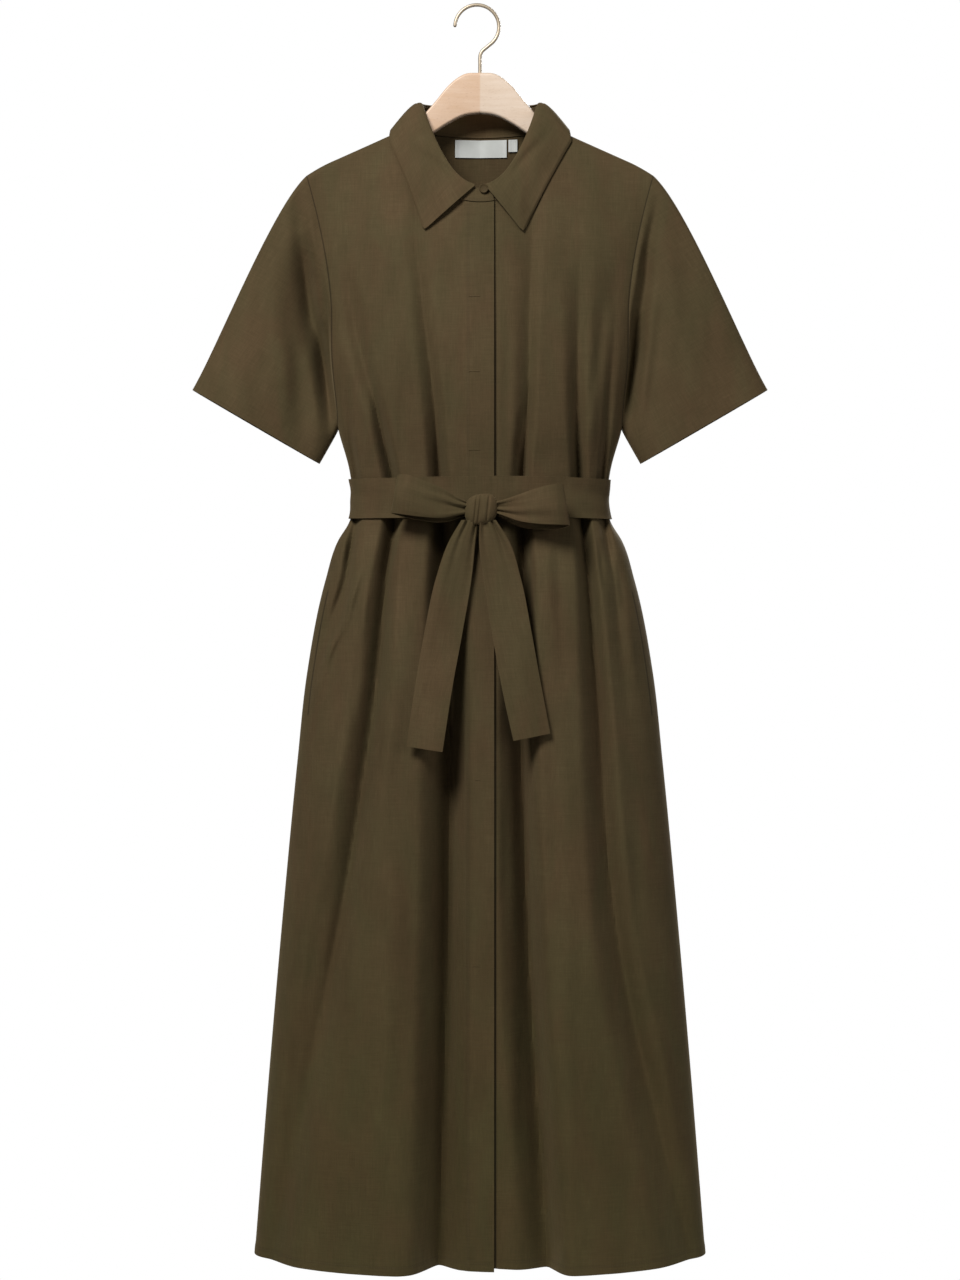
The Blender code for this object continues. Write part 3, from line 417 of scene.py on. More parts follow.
def mesh_object(name, points, faces, material, uv=None, seams=None, sharp=50):
    """An object from arrays, turned to face out, with its UV map and its points' distances to its
    stitches and seams. Where seams is empty, they all lie far away."""
    points, faces = np.asarray(points, float).reshape(-1, 3), np.asarray(faces)
    a, b, c, d = (points[faces[:, k]] for k in range(4))
    if (np.cross(b - a, c - a) * a).sum() + (np.cross(c - a, d - a) * a).sum() < 0:
        faces = faces[:, ::-1]
    mesh = bpy.data.meshes.new(name)
    mesh.vertices.add(len(points))
    mesh.vertices.foreach_set("co", points.ravel())
    mesh.loops.add(faces.size)
    mesh.loops.foreach_set("vertex_index", faces.ravel())
    mesh.polygons.add(len(faces))
    mesh.polygons.foreach_set("loop_start", np.arange(0, faces.size, 4))
    mesh.polygons.foreach_set("loop_total", np.full(len(faces), 4))
    mesh.update(calc_edges=True)
    if uv is not None:
        layer = mesh.uv_layers.new(name="cloth")
        layer.data.foreach_set("uv", np.asarray(uv, float).reshape(-1, 2)[faces.ravel()].ravel())
    for key in SEAM_VALUES if seams is not None else ():
        value = np.ravel(seams.get(key, np.full(len(points), FAR)))
        mesh.attributes.new(key, "FLOAT", "POINT").data.foreach_set("value", value)
    mesh.shade_smooth()
    mesh.set_sharp_from_angle(angle=radians(sharp))
    mesh.materials.append(material)
    obj = bpy.data.objects.new(name, mesh)
    bpy.context.scene.collection.objects.link(obj)
    return obj


def wall(name, outer, inner, material, closed=False, uv=None, stitch=None, along=None, seam=None):
    """A closed wall between two grids, with rims where they end. stitch is each point's signed
    distance to the nearest row of stitches, along its place on that row and seam its distance to
    the nearest sunk seam, all in metres."""
    rows, columns = outer.shape[:2]
    count = rows * columns
    faces = [quads(rows, columns, closed), quads(rows, columns, closed, count)[:, ::-1]]
    c = np.arange(columns if closed else columns - 1)
    following = (c + 1) % columns
    faces.append(rim(c, following, count))
    faces.append(rim(c + count - columns, following + count - columns, count)[:, ::-1])
    if not closed:
        r = np.arange(rows - 1) * columns
        faces.append(rim(r, r + columns, count)[:, ::-1])
        faces.append(rim(r + columns - 1, r + 2 * columns - 1, count))
    if uv is None:
        run = np.linalg.norm(np.diff(outer, axis=1, prepend=outer[:, :1]), axis=2).mean(0).cumsum()
        rise = np.linalg.norm(np.diff(outer, axis=0, prepend=outer[:1]), axis=2).mean(1).cumsum()
        uv = np.stack(np.broadcast_arrays(run[None], rise[:, None]), -1)
    given = zip(SEAM_VALUES, (stitch, along, seam))
    seams = {key: [value, value] for key, value in given if value is not None}
    return mesh_object(name, [outer, inner], np.concatenate(faces), material, [uv, uv], seams)


def nearest_row(rows):
    """From several (signed distance, place along) pairs, the pair of the row that is nearest."""
    distance = np.stack([np.broadcast_to(d, rows[0][0].shape) for d, _ in rows])
    place = np.stack([np.broadcast_to(a, rows[0][0].shape) for _, a in rows])
    pick = np.abs(distance).argmin(0)[None]
    return np.take_along_axis(distance, pick, 0)[0], np.take_along_axis(place, pick, 0)[0]


# ------------------------------------------------------------------ fronts and back
LOWER = np.linspace(HEM_Z, UNDERARM_Z, 262)
UPPER = 1 - (1 - np.linspace(0, 1, 92)) ** 1.6
FRONT_COLUMNS, NECK_COLUMNS = 112, 44
SHOULDER_COLUMNS, BACK_NECK_COLUMNS = 40, 29


def gathered_to_end(count, power=1.7):
    return 1 - (1 - np.linspace(0, 1, count)) ** power


def neck_z(x):
    return NECK_POINT_Z - FRONT_NECK_DROP * np.sqrt(np.maximum(1 - (x / NECK_X) ** 2, 0))


def coons(bottom, top, left, right, s, t):
    """A patch between four edges in (x, z): the two ruled blends less the corners' blend."""
    s, t = s[None, :, None], t[:, None, None]
    low, high = (1 - s) * bottom[0] + s * bottom[-1], (1 - s) * top[0] + s * top[-1]
    ruled = (1 - t) * bottom[None] + t * top[None] + (1 - s) * left[:, None] + s * right[:, None]
    return ruled - (1 - t) * low - t * high


def near_hem(z):
    """0 at the top of the lowest rows, 1 at the hem."""
    return np.clip((HEM_Z + HEM_ROWS - z) / HEM_ROWS, 0, 1)


def dipped(outline):
    """The same grid with its lowest rows lowered between the side seams."""
    edge = np.abs(outline[..., 0]) / section(outline[..., 1], "half_width")
    outline[..., 1] -= HEM_DIP * (1 - np.clip(edge, 0, 1) ** 3) * near_hem(outline[..., 1])
    return outline


def side_edges(top_z):
    """The armhole edge from the underarm to the shoulder tip, as (x, z)."""
    z = UNDERARM_Z + (top_z - UNDERARM_Z) * UPPER
    return stacked(armhole_x(z), z)


def front_outline():
    """The (x, z) grid of the front on the +X side: the fly's columns, then the panel's out to the
    side seam."""
    s = np.linspace(0, 1, FRONT_COLUMNS)
    z = LOWER[:, None]
    width = section(z, "half_width")
    start = np.arcsin(FLY_HALF / width)
    lower = stacked(width * np.sin(start + (pi / 2 - start) * s**1.12), z + 0 * s)
    first = np.arcsin(FLY_HALF / NECK_X)
    across = NECK_X * np.sin(first + (pi / 2 - first) * gathered_to_end(NECK_COLUMNS))
    neck = stacked(across, neck_z(across))
    out = np.linspace(NECK_X, SHOULDER_TIP_X, FRONT_COLUMNS - NECK_COLUMNS + 1)[1:]
    top = np.concatenate([neck, stacked(out, shoulder_z(out))])
    left = stacked(0 * UPPER + FLY_HALF, UNDERARM_Z + (neck_z(FLY_HALF) - UNDERARM_Z) * UPPER)
    upper = coons(lower[-1], top, left, side_edges(top[-1, 1]), s, UPPER)
    panel = np.concatenate([lower, upper[1:]])
    fly_x = np.linspace(-FLY_HALF, FLY_HALF, 13)[:-1]
    fly_top = UNDERARM_Z + (neck_z(fly_x)[None] - UNDERARM_Z) * UPPER[1:, None]
    fly_z = np.concatenate([LOWER[:, None] + 0 * fly_x, fly_top])
    fly = stacked(fly_x + 0 * fly_z, fly_z)
    return dipped(np.concatenate([fly, panel], axis=1))


def back_outline():
    """The (x, z) grid of the whole back, from one side seam to the other."""
    s = np.linspace(-1, 1, 2 * SHOULDER_COLUMNS + 2 * BACK_NECK_COLUMNS - 1)
    z = LOWER[:, None]
    lower = stacked(section(z, "half_width") * np.sin(pi / 2 * s), z + 0 * s)
    half = pi / 2 * gathered_to_end(BACK_NECK_COLUMNS)
    angle = np.concatenate([-half[:0:-1], half])
    neck = stacked(NECK_X * np.sin(angle), NECK_POINT_Z - BACK_NECK_DROP * np.cos(angle))
    out = np.linspace(SHOULDER_TIP_X, NECK_X, SHOULDER_COLUMNS + 1)[:-1]
    shoulder = stacked(out, shoulder_z(out))
    top = np.concatenate([shoulder * (-1, 1), neck, shoulder[::-1]])
    right = side_edges(shoulder[0, 1])
    upper = coons(lower[-1], top, right * (-1, 1), right, (s + 1) / 2, UPPER)
    return dipped(np.concatenate([lower, upper[1:]]))


def lift(outline, surface, side=1):
    """Puts an (x, z) grid onto the surface y(x, z); side -1 mirrors it."""
    x, z = outline[..., 0] * side, outline[..., 1]
    return stacked(x, surface(x, z), z)


def hem_turn(height):
    """How far the turned hem stands proud: it ends in a soft step at its row of stitches."""
    return 0.5 * MM * (1 - ease((height - HEM_DEPTH) / (3 * MM)))


def panel_inner(outer, normal, seams):
    """The inner face. Along a seam the step keeps to the seam's own plane, turned a little back, so
    that the two edges lie over each other and no light shows between them."""
    normal = normal.copy()
    for rows, columns in seams:
        normal[rows, columns, 1] = -0.5
    return outer - unit(normal) * CLOTH


def front_panel(name, side, over, material):
    """One front. Its placket side runs past the centre; the one that lies over stands out by the
    fly's own thickness, and a soft step marks the placket's row of stitches."""
    outline = front_outline()
    beside = 1 - ease((outline[..., 0] + FLY_HALF) / (60 * MM))
    corner = HEM_CORNER_OVER if over else HEM_CORNER_UNDER
    outline[..., 1] += corner * near_hem(outline[..., 1]) * beside
    outer = lift(outline, front_y, side)
    normal = facing(outer)
    u, height = outline[..., 0], outline[..., 1] - outline[:1, :, 1]
    if over:
        raised = 1 - ease((u - STITCH_X) / (5 * MM))
        sunk = np.exp(-(((u - STITCH_X - 0.6 * MM) / (1.6 * MM)) ** 2))
        lift_off = FLY_LIFT * raised - 0.35 * MM * sunk
        outer[..., 1] -= lift_off / np.maximum(np.abs(normal[..., 1]), 0.5)
    else:
        outer[..., 1] += 1.3 * MM * np.exp(-(((u - FLY_HALF - 1.6 * MM) / (2.2 * MM)) ** 2))
    outer = outer + normal * hem_turn(height)[..., None]
    rows = len(LOWER)
    neck_point = len(u[0]) - FRONT_COLUMNS + NECK_COLUMNS - 1
    x, z = outer[:rows, -1, 0], outer[:rows, -1, 2]
    outer[:rows, -1, 1] = plane_y(x, z) - SEAM_GAP / 2
    outer[-1, neck_point:, 1] -= SEAM_GAP / 2
    seams = [(-1, slice(neck_point, None)), (slice(0, rows), -1)]
    hem_row, fly_row = (height - HEM_DEPTH, u), (u - STITCH_X, height)
    stitch, along = nearest_row([hem_row, fly_row]) if over else hem_row
    uv = outer[..., [0, 2]]
    inner = panel_inner(outer, normal, seams)
    sunk = sunk_seams(outline, True)
    # Painted shadow: on the under front, a strip beside the over front's edge joins the sunk seams, so
    # the cloth darkens it as that edge's shadow.
    if not over:
        sunk = np.minimum(sunk, np.maximum(np.abs(u - FLY_HALF - 0.9 * MM) - 0.8 * MM, 0.2 * MM))
    return wall(name, outer, inner, material, uv=uv, stitch=stitch, along=along, seam=sunk)


MOUTH_TOP_Z, MOUTH_FOOT_Z = -655 * MM, -792 * MM


def sunk_seams(outline, mouths):
    """Distance to the armhole seam and, on the fronts, to the pocket's mouth: a slit just in front
    of the side seam. The cloth sinks these lines and darkens them with painted shade; the armhole
    seam's painted shade is fainter towards the shoulder."""
    u, z = np.abs(outline[..., 0]), outline[..., 1]
    faint = 0.5 * MM * ease((z + 330 * MM) / (110 * MM))
    armhole = np.where(z > UNDERARM_Z, np.abs(armhole_x(z) - u) + faint, FAR)
    past = np.maximum(np.maximum(z - MOUTH_TOP_Z, MOUTH_FOOT_Z - z), 0)
    slit = 1.7 * np.abs(u - section(z, "half_width") * (0.958 - 0.25 * past))
    mouth = np.where(past > 6 * MM, FAR, np.maximum(slit - 0.5 * MM, 0) + past * 0.4)
    return np.minimum(armhole, mouth) if mouths else armhole


def back_panel(material):
    outline = back_outline()
    outer = lift(outline, back_y)
    normal = facing(outer, ahead=False)
    height = outline[..., 1] - outline[:1, :, 1]
    outer = outer + normal * hem_turn(height)[..., None]
    rows = len(LOWER)
    shoulders = [slice(0, SHOULDER_COLUMNS + 1), slice(-SHOULDER_COLUMNS - 1, None)]
    for column in (0, -1):
        x, z = outer[:rows, column, 0], outer[:rows, column, 2]
        outer[:rows, column, 1] = plane_y(x, z) + SEAM_GAP / 2
    for columns in shoulders:
        outer[-1, columns, 1] += SEAM_GAP / 2
    seams = [(-1, columns) for columns in shoulders] + [(slice(0, rows), 0), (slice(0, rows), -1)]
    uv = outer[..., [0, 2]]
    inner = panel_inner(outer, normal, seams)
    return wall("back_panel", outer, inner, material, uv=uv, stitch=height - HEM_DEPTH,
                along=outline[..., 0], seam=sunk_seams(outline, False))


# ------------------------------------------------------------------ sleeves
SLEEVE_HEM_OUTER = np.array([321, -10, -430]) * MM
SLEEVE_HEM_INNER = np.array([179.5, -4, -512]) * MM
SLEEVE_HEM_HALF = 25 * MM
CAP_DIRECTION = np.array([0.75, 0, -0.66])
UNDERARM_DIRECTION = np.array([0.35, 0, -0.8])
SLEEVE_ROWS = 96


def armhole_loop(side):
    """The armhole from the shoulder tip down the front and up the back, on the +X side."""
    z = UNDERARM_Z + (shoulder_z(SHOULDER_TIP_X) - UNDERARM_Z) * UPPER
    x = armhole_x(z)
    front = stacked(x, front_y(side * x, z), z)
    back = stacked(x, back_y(side * x, z), z)
    front[0, 1] = back[0, 1] = plane_y(x[0], z[0])
    front[-1, 1] = back[-1, 1] = shoulder_y(x[-1])
    return np.concatenate([front[::-1], back[1:-1]])


def sleeve(name, side, material):
    """Each line runs from the armhole to the hem as a cubic that leaves along the shoulder at the
    top and towards the hem at the underarm. The hem is a flattened ellipse. Creases push its front
    and its back layer inwards."""
    loop = armhole_loop(side)
    loop[:, 0] += SEAM_GAP
    front_angles = pi * (1 - UPPER[::-1])
    angles = np.concatenate([front_angles, pi + pi * UPPER[1:-1]])
    down = ((1 - np.cos(angles)) / 2)[:, None]
    middle = (SLEEVE_HEM_OUTER + SLEEVE_HEM_INNER) / 2
    reach = (SLEEVE_HEM_OUTER - SLEEVE_HEM_INNER) / 2
    across = np.array([0, -SLEEVE_HEM_HALF, 0])
    flat = np.sign(np.sin(angles)) * np.abs(np.sin(angles)) ** 0.8
    hem = middle + np.cos(angles)[:, None] * reach + flat[:, None] * across
    length = np.linalg.norm(hem - loop, axis=1, keepdims=True)
    leave = (1 - down) * CAP_DIRECTION + down * UNDERARM_DIRECTION
    leave = leave + np.sin(angles)[:, None] * (0, -0.25, 0)
    axis = np.cross(reach, across)
    axis = unit(axis) * np.sign(-axis[2])
    v = (1 - (1 - np.linspace(0, 1, SLEEVE_ROWS)) ** 1.05)[:, None, None]
    outer = (1 + 2 * v) * (1 - v) ** 2 * loop + v * (1 - v) ** 2 * length * 0.55 * leave
    outer = outer + v * v * (3 - 2 * v) * hem - v * v * (1 - v) * length * 0.6 * axis
    x, z = outer[..., 0], outer[..., 2]
    layer = np.abs(np.sin(angles))[None] ** 0.5 * ease(v[..., 0] / 0.1)
    creased = np.where(
        np.sin(angles)[None] > 0,
        crease_depth(x, z, SLEEVE_CREASES[side][0]) + ripple(x, z, 21 + side, 0.3 * MM),
        -crease_depth(x, z, SLEEVE_CREASES[side][1]) - ripple(x, z, 31 + side, 0.3 * MM),
    )
    outer[..., 1] += creased * layer
    normal = outward(outer, closed=True)
    fall = np.linalg.norm(outer - outer[-1:], axis=2)
    outer = outer + normal * (0.15 * hem_turn(fall - 5 * MM))[..., None]
    inward = -normal
    inward[0, :, 0] = np.maximum(inward[0, :, 0], 0)
    inner = outer + CLOTH * unit(inward)
    mirror = np.array([side, 1, 1])
    run = np.cumsum(np.linalg.norm(np.diff(outer[60], axis=0, prepend=outer[60][:1]), axis=1))
    uv = np.stack([run[None] + 0 * fall, fall], -1)
    return wall(name, outer * mirror, inner * mirror, material, closed=True, uv=uv,
                seam=np.linalg.norm(outer - outer[:1], axis=2))


# ------------------------------------------------------------------ collar and stand
ROLL_X = 64 * MM
ROLL_SIDE_Z, ROLL_FRONT_Z, ROLL_BACK_Z = -110.5 * MM, -210 * MM, -109 * MM
ROLL_FRONT_Y, ROLL_BACK_Y = -44 * MM, 35 * MM
COLLAR_TIPS = {-1: (-62.7, -258), 1: (48.3, -260)}
COLLAR_SIDE_X, COLLAR_BACK_Z = 102 * MM, -166 * MM
COLLAR_LIFT, COLLAR_BULGE = 2.4 * MM, 3.2 * MM
COLLAR_THICK = 1.5 * MM      # two layers of cloth and an interlining
COLLAR_FRONT, COLLAR_TURN, COLLAR_BACK = 60, 24, 44     # columns along each stretch of its edge
COLLAR_CREASES = table(
    CREASE,
    (-64, -168, -12, -206, 3.2, 6), (-84, -140, -30, -196, -2.0, 8),
    (-88, -160, -62, -228, -1.2, 11), (-60, -190, -50, -240, 1.2, 8),
    (78, -140, 30, -200, 2.6, 8), (84, -165, 56, -225, 1.2, 11),
    (60, -150, 26, -196, -1.4, 8), (46, -200, 44, -246, -1.0, 8),
)


def neck_line(angle):
    """The neckline: angle 0 at the centre front, pi at the centre back."""
    x = NECK_X * np.sin(angle)
    forward = np.cos(angle)
    z = NECK_POINT_Z - np.where(forward > 0, FRONT_NECK_DROP * forward, -BACK_NECK_DROP * forward)
    y = np.where(forward > 0, front_y(x, z), back_y(x, z))
    side = np.exp(-((forward / 0.12) ** 2))
    return stacked(x, y * (1 - side) + plane_y(x, z) * side, z)


def roll_line(angle):
    """The fold line along the top of the stand."""
    forward = np.cos(angle)
    ahead, behind = np.clip(forward, 0, 1), np.clip(-forward, 0, 1)
    z = ROLL_SIDE_Z + (ROLL_FRONT_Z - ROLL_SIDE_Z) * ahead**1.9 + (ROLL_BACK_Z - ROLL_SIDE_Z) * behind
    return stacked(ROLL_X * np.sin(angle), ROLL_FRONT_Y * ahead + ROLL_BACK_Y * behind, z)


def collar_stand(material):
    """The stand rises from the neckline to the fold line; its -X end laps over its +X end."""
    past = np.arcsin(FLY_HALF / NECK_X)
    angle = np.linspace(0, 2 * pi, 240)
    angle = angle + 0.3 * np.sin(2 * angle)
    angle = np.concatenate([np.linspace(-past, 0, 9)[:-1], angle, 2 * pi + np.linspace(0, past, 9)[1:]])
    foot, top = neck_line(angle), roll_line(angle)
    foot[:, 2] += 0.4 * MM
    foot[:, 0] *= 1 - 0.6 * MM / NECK_X
    v = np.linspace(0, 1, 12)[:, None, None]
    outer = foot + (top - foot) * v
    normal = outward(outer)
    over = ease((angle - 2 * pi + 2.2 * past) / past)
    outer = outer + normal * (over * 2.4 * MM)[None, :, None]
    rise = np.linalg.norm(outer - outer[:1], axis=2)
    along = (angle * 72 * MM)[None] + 0 * rise
    uv = stacked(along, rise)
    return wall("stand_of_collar", outer, outer - normal * COLLAR_THICK, material, uv=uv,
                stitch=rise - 2 * MM, along=along)


def half_collar(side):
    """Fold line and outer edge of half the fall, from its front edge to the centre back. The outer
    edge runs straight from the tip to the shoulder, over the shoulder seam as part of an ellipse,
    and round the back."""
    tip = np.array(COLLAR_TIPS[side]) * MM
    clear = 1.5 * MM + LAY_GAP + COLLAR_LIFT
    foot = np.array([COLLAR_SIDE_X, shoulder_z(COLLAR_SIDE_X) - SHOULDER_ROUND])
    f = 1 - np.linspace(0, 1, COLLAR_FRONT)[:, None] ** 1.5
    front = foot + (tip * (side, 1) - foot) * f
    front = front + np.array([-0.9, -0.4]) * 2.5 * MM * np.sin(pi * f)
    front_depth = front_y(side * front[:, 0], front[:, 1]) - clear
    turn = np.linspace(-pi / 2, pi / 2, COLLAR_TURN + 2)[1:-1]
    middle = plane_y(*foot)
    reach = np.where(turn < 0, middle - front_depth[-1], back_y(foot[0], foot[1]) + clear - middle)
    turn_z = foot[1] + (SHOULDER_ROUND + clear * 1.1) * np.cos(turn)
    g = np.linspace(0, pi / 2, COLLAR_BACK)
    back_x = COLLAR_SIDE_X * np.cos(g)
    back_z = foot[1] + (COLLAR_BACK_Z - foot[1]) * np.sin(g)
    x = np.concatenate([front[:, 0], np.full_like(turn, COLLAR_SIDE_X), back_x])
    y = np.concatenate([front_depth, middle + reach * np.sin(turn), back_y(back_x, back_z) + clear])
    z = np.concatenate([front[:, 1], turn_z, back_z])
    angle = np.concatenate([
        np.linspace(radians(5), radians(66), COLLAR_FRONT),
        np.linspace(radians(66), radians(112), COLLAR_TURN + 2)[1:-1],
        np.linspace(radians(112), pi, COLLAR_BACK),
    ])
    stand_top = roll_line(angle)
    outwards = stacked(np.sin(angle), -np.cos(angle), 0 * angle)
    ahead = np.clip(np.cos(angle), 0, 1)[:, None] ** 4
    beside = np.abs(np.sin(angle))[:, None] ** 8
    start = stand_top + outwards * (3.3 + ahead * 2.6 + beside * 6) * MM
    start[:, 2:] += (1.6 - 3.2 * beside) * MM
    mirror = (side, 1, 1)
    return stand_top * mirror, start * mirror, stacked(side * x, y, z), outwards * mirror


def collar_fall(material):
    """The fall: a half round over the top of the stand, then a slightly bowed sheet that lies on
    the body. Its edge is turned and thins over its last millimetres."""
    left, right = half_collar(1), half_collar(-1)
    top, start, edge, outwards = (np.concatenate([a, b[-2::-1]]) for a, b in zip(left, right))
    v = np.linspace(0, 1, 44)[:, None, None]
    beside = np.abs(outwards[:, :1]) ** 3
    lifted = outwards * (1 - 0.6 * beside) + beside * (0, 0, 0.7)
    centre, half = (top + start) / 2, (start - top) / 2
    high = (1.4 * MM + 0.55 * np.linalg.norm(half, axis=1))[:, None] * np.array([0, 0, 1])
    last = pi * (1 - 0.34 * beside)
    phi = 0.12 * pi + (last - 0.12 * pi) * np.linspace(0, 1, 12)[:, None, None]
    lip = centre - np.cos(phi) * half + np.abs(np.sin(phi)) ** 0.8 * high
    start, lip = lip[-1], lip[:-1]
    fall = start + (edge - start) * v + COLLAR_BULGE * np.sin(pi * v ** (0.7 - 0.1 * beside)) * lifted
    for tip, middle in ((edge[0], start[18]), (edge[-1], start[-19])):
        near = np.exp(-((np.linalg.norm(fall - tip, axis=2, keepdims=True) / (4.2 * MM)) ** 2))
        fall = fall + near * 2.6 * MM * unit(middle - tip)
    outer = np.concatenate([lip, fall])
    x, z = outer[..., 0], outer[..., 2]
    outer[..., 1] += np.where(outer[..., 1] < -12 * MM, crease_depth(x, z, COLLAR_CREASES), 0)
    normal = outward(outer)
    edge_off = np.linalg.norm(outer - edge, axis=2)
    outer = outer - normal * (1.4 * MM * (1 - ease(edge_off / (2.8 * MM))))[..., None]
    thick = COLLAR_THICK * (0.35 + 0.65 * ease(edge_off / (3 * MM)))[..., None]
    run = np.cumsum(np.linalg.norm(np.diff(edge, axis=0, prepend=edge[:1]), axis=1))
    uv = stacked(run[None], edge_off)
    return wall("collar_fall", outer, outer - normal * thick, material, uv=uv)


# ------------------------------------------------------------------ belt and bow
BELT_WIDTH, BELT_HALF = 43 * MM, 0.6 * MM       # BELT_HALF: half the thickness of a loop or tail


def belt_band(material):
    """A ring on the cloth's smooth outline that bridges the pleats, with soft cross wrinkles and
    thinned edges."""
    angle = np.linspace(0, 2 * pi, 420, endpoint=False)
    z = np.linspace(BELT_FOOT_Z, BELT_TOP_Z, 26)[:, None]
    x = section(z, "half_width") * np.sin(angle)
    forward = np.cos(angle)[None] + 0 * z
    y = np.where(forward > 0, -bare_depth(x, z, "front_depth"), bare_depth(x, z, "back_depth"))
    cloth = stacked(x, y, z + 0 * x)
    normal = outward(cloth, closed=True)
    t = (z - BELT_FOOT_Z) / (BELT_TOP_Z - BELT_FOOT_Z)
    wave = 0.5 * np.sin(5 * angle + 9 * t) + 0.35 * np.sin(13 * angle - 5 * t)
    wave = wave + 0.3 * np.sin(2 * pi * t * 2 + 3 * angle)
    outer = cloth + normal * (2.5 * MM + 0.55 * MM * wave[..., None])
    thick = 1.5 * MM * (0.4 + 0.6 * np.sin(pi * np.clip(t, 0.02, 0.98)) ** 0.3)[..., None]
    outer[..., 2] += 0.7 * MM * np.sin(3 * angle + 1)[None]
    rise = z - BELT_FOOT_Z + 0 * x
    along = (angle * 95 * MM)[None] + 0 * x
    uv = stacked(along, rise)
    return wall("belt_round_waist", outer, outer - normal * thick, material, closed=True, uv=uv)


STRIP = "x y foot top"
LOOPS = {
    "right": table(
        STRIP,
        (-14, -79, -570, -558), (-23, -82, -572, -554), (-39, -85.5, -575, -544.5),
        (-66, -88, -574, -534.5), (-89, -86.5, -571, -528), (-97, -79, -570, -529),
        (-91, -73.5, -572, -532), (-66, -71.5, -577.5, -539), (-38, -72, -579.5, -546),
        (-16.5, -73.5, -573, -556),
    ),
    "left": table(
        STRIP,
        (18, -79, -570, -558), (26, -82, -573, -556), (41, -85.5, -578.5, -551),
        (64, -88, -582, -543.5), (90, -86.5, -583, -539), (98, -79, -583.5, -540),
        (92, -73.5, -586, -544), (66, -71.5, -587.5, -548), (42, -72, -584.5, -553),
        (20.5, -73.5, -574, -557),
    ),
}


def bow_loop(side, material):
    """A loop of belt carried along its table of places, with creases that fan out from the knot
    and die away towards its end."""
    places = np.array(LOOPS[side], float) * MM
    step = np.linalg.norm(np.diff(places[:, :2], axis=0), axis=1)
    at = np.linspace(0, step.sum(), 190)
    knots = np.concatenate([[0], np.cumsum(step)])
    x, y, foot, top = (through(at, knots, places[:, k]) for k in range(4))
    t = np.linspace(0, 1, 30)[:, None]
    z = foot + (top - foot) * t
    near = np.exp(-np.abs(np.abs(x) - 14 * MM) / (30 * MM))
    turn = 0.15 if side == "right" else 0.6
    fan = np.cos(2 * pi * (2.1 * t + turn)) + 0.5 * np.cos(2 * pi * (3.4 * t + 2 * turn))
    fan = 1.9 * MM * near * fan + 0.7 * MM * np.sin(2 * pi * (t + turn) + x * 55)
    bow = -3.4 * MM * np.sin(pi * t) * np.sin(pi * at / at[-1])
    x = x - np.sign(x) * 7.5 * MM * t * ease(np.abs(x) / (104 * MM)) ** 3
    front = np.where(np.arange(190) < 95, 1, -1)[None]
    grid = stacked(x, y + front * (fan + bow), z)
    normal = outward(grid, centre=(x.mean(), -79 * MM, z.mean()))
    rise = t * BELT_WIDTH + 0 * z
    along = at[None] + 0 * z
    return wall(f"bow_{side}", grid + normal * BELT_HALF, grid - normal * BELT_HALF, material,
                uv=stacked(along, rise))


TAIL = "z left right"
TAILS = {
    "right": table(
        TAIL,
        (-578, -20, -3), (-600, -33, -5), (-640, -47.5, -9), (-700, -60.5, -19),
        (-765, -71.5, -31), (-828, -80, -41),
    ),
    "left": table(
        TAIL,
        (-578, 0, 17), (-600, -1, 31), (-640, 4, 44), (-700, 13, 56),
        (-765, 25, 67.5), (-815, 36.5, 76.5),
    ),
}


def belt_tail(side, material):
    """A tail of belt that falls from the knot and lies in front of the skirt's ridges. Creases run
    down it from the knot, and its cut end slopes a little."""
    levels, *edges = (np.array(TAILS[side], float) * MM).T
    z = np.linspace(levels[0], levels[-1], 150)
    left, right = (through(z, levels, edge) for edge in edges)
    v = np.linspace(0, 1, 26)
    x = left[:, None] + (right - left)[:, None] * v
    down = (levels[0] - z) / (levels[0] - levels[-1])
    slope = (-6 if side == "right" else 8) * MM
    height = z[:, None] + slope * (v[None] - 0.5) * ease((down[:, None] - 0.6) / 0.4)
    bare = -bare_depth(x, height, "front_depth")
    hung = 1 - ease(down)[:, None]
    hang = -80.5 * MM * hung + (bare.min(axis=1, keepdims=True) - 0.5 * MM) * (1 - hung)
    soft = 3 * MM
    lie = -soft * np.log(np.exp(-hang / soft) + np.exp(-(bare - 3 * MM) / soft))
    near = np.exp(-down / 0.2)[:, None]
    turn = 0.1 if side == "right" else 0.45
    crease = np.cos(2 * pi * (2.1 * v + turn)) + 0.5 * np.cos(2 * pi * (3.3 * v - turn))
    crease = 2.0 * MM * near * crease + 1.1 * MM * np.cos(2 * pi * (v + 0.6 * down[:, None] + turn))
    outer = stacked(x, lie - 1.2 * MM * np.sin(pi * v) + crease - 0.8 * MM, height)
    normal = facing(outer)
    across = v[None] * BELT_WIDTH + 0 * x
    fall = (z - levels[-1])[:, None] + 0 * x
    return wall(f"belt_end_{side}", outer + normal * BELT_HALF, outer - normal * BELT_HALF, material,
                uv=stacked(across, fall))


KNOT_CENTRE = np.array([1.2, -77.5, -566]) * MM
KNOT_SIZE = np.array([18, 11.5, 16.8]) * MM


